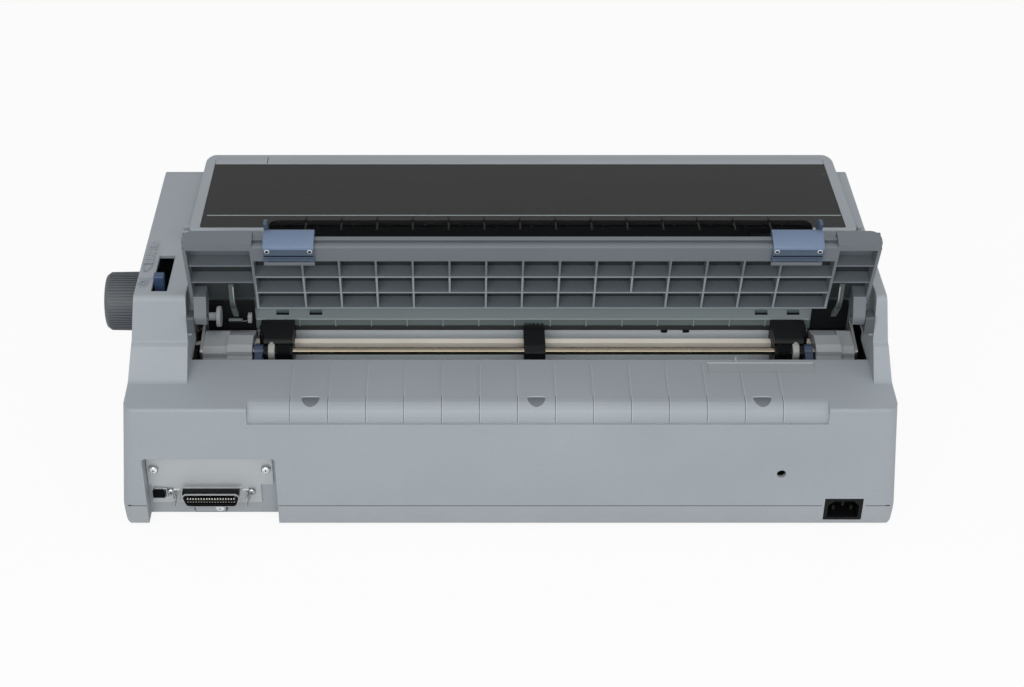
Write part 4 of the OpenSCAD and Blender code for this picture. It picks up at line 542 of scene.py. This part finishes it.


# Edge guides: a crowned roll over the clip in a painted highlight, grip ribs, two eyelets, a foot lip
# with tabs, a grey runner
for middle, body in SLIDERS:
    shape = bmesh.new()
    crown = [(76.2, 4.55), (77.4, 4.75), (78.5, 5.6), (79.3, 7.4), (79.9, 10.5), (80.1, 14.1),
             (79.9, 17.7), (79.3, 20.8), (78.5, 22.6), (77.4, 23.45), (76.2, 23.65), (76.2, 22.9),
             (77.9, 21.6), (77.9, 6.6), (76.2, 5.2)]
    plate(shape, crown, 2 * SLIDER_HALF, lambda s, m, h: on_guide(middle - SLIDER_HALF + h, s, m))
    bmesh.ops.bevel(shape, geom=[e for e in shape.edges if e.calc_length() < 6], offset=0.25, segments=2,
                    profile=0.5, affect="EDGES", clamp_overlap=True)
    fitted("slider_crown_" + body, shape, body, crown_highlight_abs)
    shape = bmesh.new()
    for k in range(15):
        x = middle + (k - 7) * 1.9
        moulding(shape, (x - 0.45, 72.6, 4.4), (x + 0.45, 76.0, 5.0), 0.18, turn=on_guide)
    moulding(shape, (middle - 17.2, 65.6, 3.9), (middle + 17.2, 66.4, 5.0), 0.3, turn=on_guide)
    for side in (-1, 1):
        x = middle + side * 17.0
        moulding(shape, (x - 1.6, 63.0, 4.0), (x + 1.6, 66.4, 5.6), 0.3, turn=on_guide)
    fitted("slider_dressing_" + body, shape, body, slider_shade_abs)
    out = on_guide(0, 0, -1) - on_guide(0, 0, 0)
    # The eyelets' dark centres are painted shade in their holes
    for name, profile, finish in (
            ("slider_eyelets_", [(0, 2.1), (0.5, 2.0), (0.7, 1.8)], lower_chute_abs),
            ("slider_eyelet_hole_shades_", [(0.7, 1.25), (0.8, 1.25)], deep_shadow)):
        shape = bmesh.new()
        for side in (-1, 1):
            turned(shape, profile, on_guide(middle + side * 16.0, 74.2, 4.9), out, 24)
        fitted(name + body, shape, body, finish)
    # The grey runner under the slider and the shadow line above it
    shape = bmesh.new()
    moulding(shape, (middle - 19.1, 59.2, 3.6), (middle + 19.1, 62.6, 4.9), 0.2, turn=on_guide)
    fitted("slider_runner_" + body, shape, body, guide_abs)
    shape = bmesh.new()
    moulding(shape, (middle - 18.6, 68.6, 4.2), (middle + 18.6, 69.3, 4.75), 0.15, turn=on_guide)
    fitted("slider_groove_" + body, shape, body, deep_shadow)

# Sprocket units: a white lock collar and a ribbed sleeve on the round shaft
shaft_y, shaft_z = ROUND_SHAFT
for middle, out, body, label in TRACTORS:
    shape = bmesh.new()
    x = middle + out * 1.2
    turned(shape, [(-2.7, 6.6), (-2.2, 7.3), (-0.5, 7.5), (0.5, 7.5), (2.2, 7.3), (2.7, 6.6)],
           (x, shaft_y, shaft_z), SIDEWAYS, 36)
    moulding(shape, (x - 1.4, shaft_y - 2, shaft_z + 5.5), (x + 1.4, shaft_y + 2, shaft_z + 8.4), 0.5)
    fitted("lock_collar_" + label, shape, body, white_pom)
    shape = bmesh.new()
    rings = []
    for k in range(8):
        start_x = middle - out * (3.2 + k * 1.35)
        rings += [(start_x, 6.95), (start_x - out * 0.7, 7.25), (start_x - out * 1.0, 6.75)]
    profile = sorted((px - middle, r) for px, r in rings)
    turned(shape, profile, (middle, shaft_y, shaft_z), SIDEWAYS, 36)
    fitted("ribbed_sleeve_" + label, shape, body, black_pom)

# Paper path: two black feelers on the lower chute; on the upper one, a black strip of painted shadow in
# the gap along its foot, a painted highlight along its fold, and ribs in the same pale finish
shape = bmesh.new()
for x0, x1, top in ((-130.2, -125.1, 109.2), (-148.2, -142.9, 111.2)):
    moulding(shape, (x0, 79.2, 105.0), (x1, 81.8, top), 0.5)
fitted("paper_sensor_feelers", shape, "housing", black_pom)
shape = bmesh.new()
moulding(shape, (-242.5, 82.4, 108.6), (202.0, 82.95, 113.2), 0.2)
fitted("chute_foam_seal", shape, "housing", foot_rubber)
shape = bmesh.new()
drawn_wire(shape, [(-244, 82.45, 119.1), (203.5, 82.45, 119.1)], 0.38)
fitted("chute_fold", shape, "housing", chute_highlight_abs)
shape = bmesh.new()
for x in RIB_PLACES:
    moulding(shape, (x - 0.35, 82.2, 113.4), (x + 0.35, 83.75, 118.4), 0.15)
fitted("chute_ribs", shape, "housing", chute_highlight_abs)

# Painted highlights: a bright wire along the edge of each of the two curved stays
bow = [(-8, 10.9), (-2, 8.4), (4, 6.0), (10, 4.4), (17, 4.9), (24, 7.0), (30, 9.4)]
shape = bmesh.new()
for x in (212.6, -252.6):
    drawn_wire(shape, [on_guide(x, s, m) for s, m in bow], 0.5)
fitted("stay_bright_edges", shape, "guide", nickel_shell)

# Ends of the tractor well: black shields, a pale idler wheel with its stub, a bracket and a return spring
shape = bmesh.new()
moulding(shape, (204.5, 82.9, 106.5), (243.2, 83.6, 138.5), 0.25)
moulding(shape, (-275.2, 82.9, 106.5), (-245.5, 83.6, 138.5), 0.25)
fitted("well_end_shields", shape, "housing", black_pom)
shape = bmesh.new()
turned(shape, [(-1.7, 3.0), (-1.7, 8.0), (-1.3, 8.4), (1.3, 8.4), (1.7, 8.0), (1.7, 3.4), (11.0, 3.2)],
       (232.6, 92.0, 128.5), SIDEWAYS, 36)
moulding(shape, (207.0, 84.0, 120.4), (210.2, 90.0, 127.0), 0.4)
fitted("well_idler_wheel", shape, "housing", block_abs)
shape = bmesh.new()
coil = [(214.5 + 0.028 * k, 88.0 + 1.7 * math.cos(k * 0.52), 122.2 + 1.7 * math.sin(k * 0.52))
        for k in range(400)]
drawn_wire(shape, coil, 0.3, sides=5)
drawn_wire(shape, [(214.5, 89.7, 122.2), (211.0, 89.6, 122.4), (209.6, 88.6, 124.2)], 0.3, sides=5)
fitted("well_return_spring", shape, "housing", stay_steel)


def on_cover(x, y, up):
    """A point of the sloping cover: y as in the drawing, up from its face."""
    rear_y, rear_z = COVER_REAR
    face_z = rear_z - (rear_y - y) * math.tan(COVER_TILT)
    return Vector((x, y - up * math.sin(COVER_TILT), face_z + up * math.cos(COVER_TILT)))


# Cover: a painted highlight along the joint between window and exit strip, ribs across the exit, front
# rim and its finger grip
shape = bmesh.new()
moulding(shape, (-271.2, 29.2, -0.6), (244.8, 30.4, -0.22), 0.12, turn=on_cover)
fitted("window_joint_line", shape, "cover", chute_highlight_abs)
shape = bmesh.new()
for k in range(14):
    x = 163.7 - k * 28.85
    moulding(shape, (x - 0.8, 30.6, -0.7), (x + 0.8, 38.4, -0.15), 0.2, turn=on_cover)
    moulding(shape, (x - 1.1, 38.6, -2.6), (x + 0.5, 53.2, -1.0), 0.3, turn=on_cover)
fitted("exit_ribs", shape, "cover", black_pom)
shape = bmesh.new()
moulding(shape, (-271.8, -73.4, -0.9), (248.3, -61.6, -0.05), 0.3, turn=on_cover)
fitted("cover_front_rim", shape, "cover", case_abs)
shape = bmesh.new()
grip = [(203.5, -74.5), (203.5, -63.6), (34.0, -63.6), (31.0, -64.6), (29.4, -67.2), (29.4, -71.0),
        (31.0, -73.4), (34.0, -74.5)]
plate(shape, grip, 0.3, lambda a, b, h: on_cover(a, b, h - 0.15))
fitted("cover_finger_grip", shape, "cover", base_abs)
shape = bmesh.new()
moulding(shape, (203.7, -74.6, -0.6), (204.3, -62.2, 0.02), 0.1, turn=on_cover)
fitted("cover_grip_seam", shape, "cover", deep_shadow)

# Pale stiffening flanges moulded under the window's two side edges show faintly through it
shape = bmesh.new()
moulding(shape, (229.5, -57.0, -4.6), (244.5, 27.0, -3.2), 0.3, turn=on_cover)
moulding(shape, (-268.5, -57.0, -4.6), (-253.8, 27.0, -3.2), 0.3, turn=on_cover)
fitted("window_side_flanges", shape, "cover", case_abs)

# Control panel: a domed lens in each of its five indicator holes
out = Vector((0, -math.sin(PANEL_TILT), math.cos(PANEL_TILT)))
up = Vector((0, math.cos(PANEL_TILT), math.sin(PANEL_TILT)))
shape = bmesh.new()
for k in range(5):
    middle = Vector((86 + 30 * k, -60, 174.8)) + up * -59 + out * 3.0
    turned(shape, [(-1.2, 1.3), (0.2, 1.3), (0.45, 1.0), (0.6, 0.5), (0.64, 0)], middle, out, 24)
fitted("indicator_lenses", shape, "housing", lens_acrylic)

# Case: dark shadow gap where the upper and lower mouldings meet, broken by the panel recess and the inlet
shape = bmesh.new()
for x0, x1 in ((182.4, -247.5), (-281.8, -301.5), (301.5, 286.6)):
    drawn_wire(shape, [(x0, REAR_Y - 0.15, SEAM_Z), (x1, REAR_Y - 0.15, SEAM_Z)], 0.3)
fitted("case_seam_gap", shape, "housing", deep_shadow)


def on_tower(x, y):
    """A point of the moulded marks, drawn in a little from the tower's outer edge."""
    return MARKS_X + (x - MARKS_X) * 0.78 - 0.9, y, TOWER_TOP


# Marks moulded beside the release lever's slot: sheet, bars, wedge and loop
shape = bmesh.new()
for y, x0, x1 in ((76.0, 280.5, 290.8), (91.2, 280.3, 292.2), (114.0, 279.8, 292.4)):
    drawn_wire(shape, [on_tower(x0, y), on_tower(x1, y)], 0.35)
for path in (
        [(281.5, 61.5), (285.5, 60.5), (289.5, 63.5), (288.6, 66.5), (284.6, 67.2), (281.6, 65.2)],
        [(284, 64.8), (288.4, 66.8), (290.2, 70.2), (287.2, 73.4), (283.2, 71.8), (282.6, 68.2)],
        [(281.6, 79.4), (290.4, 79.4), (290.8, 83.2), (282.0, 83.2)],
        [(282.2, 85.4), (288.6, 85.4), (291.2, 88.4), (289.4, 89.6), (282.4, 89.6)],
        [(281.4, 94.2), (291.6, 94.2), (289.2, 103.8), (286.8, 103.8)],
        [(282.4, 117.8), (285.6, 116.6), (290.8, 118.6), (292.0, 122.8), (288.8, 126.6), (284.2, 125.0)],
        [(284.8, 119.6), (288.4, 119.4), (289.8, 122.4), (286.8, 124.2)]):
    drawn_wire(shape, [on_tower(x, y) for x, y in path], 0.35, closed=True)
fitted("feed_path_marks", shape, "housing", case_abs)


def shelf_line(x):
    """The path of one line: down the slope, round the lip and to the wall's step."""
    slope = [(x, y, SHELF_Z + (REAR_Y - y) * SHELF_RISE / SHELF_RUN) for y in (147, 160, 174, LIP_Y)]
    r = LIP_RADIUS - 0.05
    lip = [(x, LIP_Y + r * math.sin(a), LIP_Z + r * math.cos(a)) for a in (0.3, 0.6, 0.9, 1.2, 1.45)]
    return slope + lip + [(x, LIP_Y + r, 104.0)]


# Fine moulding lines run down the shelf in its grooves and on over the rounded lip, each drawn as a dark
# wire of painted shadow with a pale wire of painted highlight beside it
for name, shift, r, finish in (("shelf_line_shadows", 0.0, 0.26, guide_abs),
                               ("shelf_line_highlights", -0.75, 0.2, button_abs)):
    shape = bmesh.new()
    for x in RIB_PLACES:
        drawn_wire(shape, shelf_line(x + shift), r, sides=6)
    fitted(name, shape, "housing", finish)


def on_lip(x, a, lift):
    """A point on the shelf's rounded lip, a radians round it, lifted off its face."""
    if a < 0:
        return Vector((x, LIP_Y + LIP_RADIUS * a, LIP_Z + LIP_RADIUS - 0.96 * a + lift))
    r = LIP_RADIUS + lift
    return Vector((x, LIP_Y + r * math.sin(a), LIP_Z + r * math.cos(a)))


def lip_strip(shape, rows, low, high):
    """A strip of skin on the lip: each row gives its angle and its two ends in X."""
    rings = []
    for a, x0, x1 in rows:
        spots = ((x0, low), (x1, low), (x1, high), (x0, high))
        rings.append([shape.verts.new(on_lip(x, a, lift)) for x, lift in spots])
    for lower, upper in zip(rings, rings[1:]):
        for k in range(4):
            n = (k + 1) % 4
            shape.faces.new((lower[k], lower[n], upper[n], upper[k]))
    shape.faces.new(rings[0])
    shape.faces.new(rings[-1])


# Three thumb pockets: a half disc of shade, straight edge uppermost, in a skin that follows the lip
arc = [(-0.1 + 0.064 * n, 7.0 * math.sqrt(1 - (n / 12.05) ** 2)) for n in range(13)]
shape, skin = bmesh.new(), bmesh.new()
for middle in POCKET_PLACES:
    lip_strip(shape, [(a, middle - half, middle + half) for a, half in arc], -0.5, 0.08)
    for side in (-1, 1):
        rows = [(a, middle + side * min(half, 5.8), middle + side * 6.3) for a, half in arc]
        lip_strip(skin, rows, -0.8, 0.03)
    lip_strip(skin, [(a, middle - 6.3, middle + 6.3) for a in (0.66, 0.74, 0.83)], -0.8, 0.03)
fitted("thumb_pocket_skins", skin, "housing", case_abs)
fitted("thumb_pocket_shades", shape, "housing", guide_abs)
# A pale wire round the top of each pocket is a painted highlight on its rim
shape = bmesh.new()
for middle in POCKET_PLACES:
    drawn_wire(shape, [(middle + 7.2 * math.cos(t), 186.5 - 0.9 * math.sin(t), 118.22 + 0.1 * math.sin(t))
                       for t in (0.15, 0.6, 1.1, 1.57, 2.04, 2.54, 2.99)], 0.3, sides=6)
fitted("thumb_pocket_rims", shape, "housing", button_abs)


def on_shelf(x, inward, up):
    """A point of the sloping rear shelf: inward from its rear edge, up from its face."""
    c, s = math.cos(SHELF_TILT), math.sin(SHELF_TILT)
    return Vector((x, REAR_Y - inward * c + up * s, SHELF_Z + inward * s + up * c))


# Bare plates: a raised strip on the rear shelf and a shallow framed field on the rear wall
shape = bmesh.new()
moulding(shape, (-238.2, 44.2, -0.4), (-155.1, 54.6, 0.25), 0.2, turn=on_shelf)
fitted("shelf_name_strip_blank", shape, "housing", base_abs)
# A pale line along the strip's far edge is a painted highlight; a short pale bar stands beyond it
shape = bmesh.new()
moulding(shape, (-238.2, 54.2, -0.4), (-155.1, 55.0, 0.8), 0.25, turn=on_shelf)
moulding(shape, (-178.4, 55.2, -0.4), (-177.6, 62.0, 0.5), 0.2, turn=on_shelf)
fitted("shelf_strip_edge", shape, "housing", button_abs)
shape = bmesh.new()
for low, high in (((-224.0, 27.0), (-159.5, 27.7)), ((-224.0, 63.6), (-159.5, 64.3)),
                  ((-224.0, 27.0), (-223.3, 64.3)), ((-160.2, 27.0), (-159.5, 64.3))):
    moulding(shape, (low[0], REAR_Y - 0.4, low[1]), (high[0], REAR_Y - 0.01, high[1]), 0.1)
fitted("rear_label_field", shape, "housing", case_abs)

# ---------------------------------------------------------------- studio
# Seamless pale paper: white to the eye, with the soft shadow under the printer
paper, tree, shader, place = start("studio_paper")
fibre = add(tree, "ShaderNodeTexNoise", {"Vector": place, "Scale": 60.0, "Detail": 3.0})
tone = add(tree, "ShaderNodeMix", {0: fibre.outputs["Fac"], 6: linear("#f4f4f4"), 7: linear("#f9f9f9")},
           data_type="RGBA")
tree.links.new(tone.outputs[2], shader.inputs["Base Color"])
shader.inputs["Roughness"].default_value = 0.9
rays = add(tree, "ShaderNodeLightPath")
white = add(tree, "ShaderNodeEmission", {"Color": (1, 1, 1, 1), "Strength": 1.0})
seen = add(tree, "ShaderNodeMath", {0: rays.outputs["Is Camera Ray"], 1: 0.9}, operation="MULTIPLY")
over = add(tree, "ShaderNodeMixShader", {0: seen.outputs[0], 1: shader.outputs[0], 2: white.outputs[0]})
tree.links.new(over.outputs[0], tree.nodes["Material Output"].inputs["Surface"])

bpy.ops.mesh.primitive_plane_add(size=14, location=(0, 0, 0))
floor = bpy.context.object
floor.name = "studio_floor"
floor.data.materials.append(paper)

world = bpy.data.worlds.new("studio")
bpy.context.scene.world = world
world.use_nodes = True
tree = world.node_tree
rays = add(tree, "ShaderNodeLightPath")
seen = add(tree, "ShaderNodeMath",
           {0: rays.outputs["Is Glossy Ray"], 1: rays.outputs["Is Transmission Ray"]},
           operation="MAXIMUM")
mirrored = add(tree, "ShaderNodeMapRange", {"Value": seen.outputs[0], "To Min": 0.42, "To Max": 0.6})
level = add(tree, "ShaderNodeMath", {0: rays.outputs["Is Camera Ray"], 1: mirrored.outputs[0]},
            operation="MAXIMUM")
tree.links.new(level.outputs[0], tree.nodes["Background"].inputs["Strength"])
tree.nodes["Background"].inputs["Color"].default_value = (1, 1, 1, 1)


def softbox(name, where, towards, size, watts):
    """A large area lamp that faces a point."""
    lamp = bpy.data.lights.new(name, "AREA")
    lamp.shape = "RECTANGLE"
    lamp.size, lamp.size_y = size
    lamp.energy = watts
    holder = bpy.data.objects.new(name, lamp)
    bpy.context.scene.collection.objects.link(holder)
    holder.location = where
    holder.rotation_euler = (Vector(towards) - Vector(where)).to_track_quat("-Z", "Y").to_euler()


softbox("rear_softbox", (0.3, 2.4, 1.5), (0, 0, 0.1), (2.4, 1.6), 36)
softbox("top_softbox", (-0.2, 0.3, 2.6), (0, 0, 0.1), (2.2, 2.0), 13)
softbox("side_softbox", (2.6, 0.4, 1.2), (0, 0, 0.1), (1.4, 1.4), 4)
softbox("far_side_softbox", (-2.6, 0.9, 1.2), (0, 0, 0.1), (1.4, 1.4), 9)

camera = bpy.data.objects.new("camera", bpy.data.cameras.new("camera"))
bpy.context.scene.collection.objects.link(camera)
# The camera stands behind the printer and looks down on it; the shift puts it left of the frame's middle
LOOK_DOWN = math.radians(35.5)
FRAME_WIDTH, MIDDLE_AT = 1024, 466
camera.location = at(34, 1350, 999)
camera.rotation_euler = (math.radians(90) - LOOK_DOWN, 0, math.radians(180))
camera.data.lens = 66.8
camera.data.shift_x = (FRAME_WIDTH / 2 - MIDDLE_AT) / FRAME_WIDTH
bpy.context.scene.camera = camera
bpy.context.scene.view_settings.view_transform = "Standard"
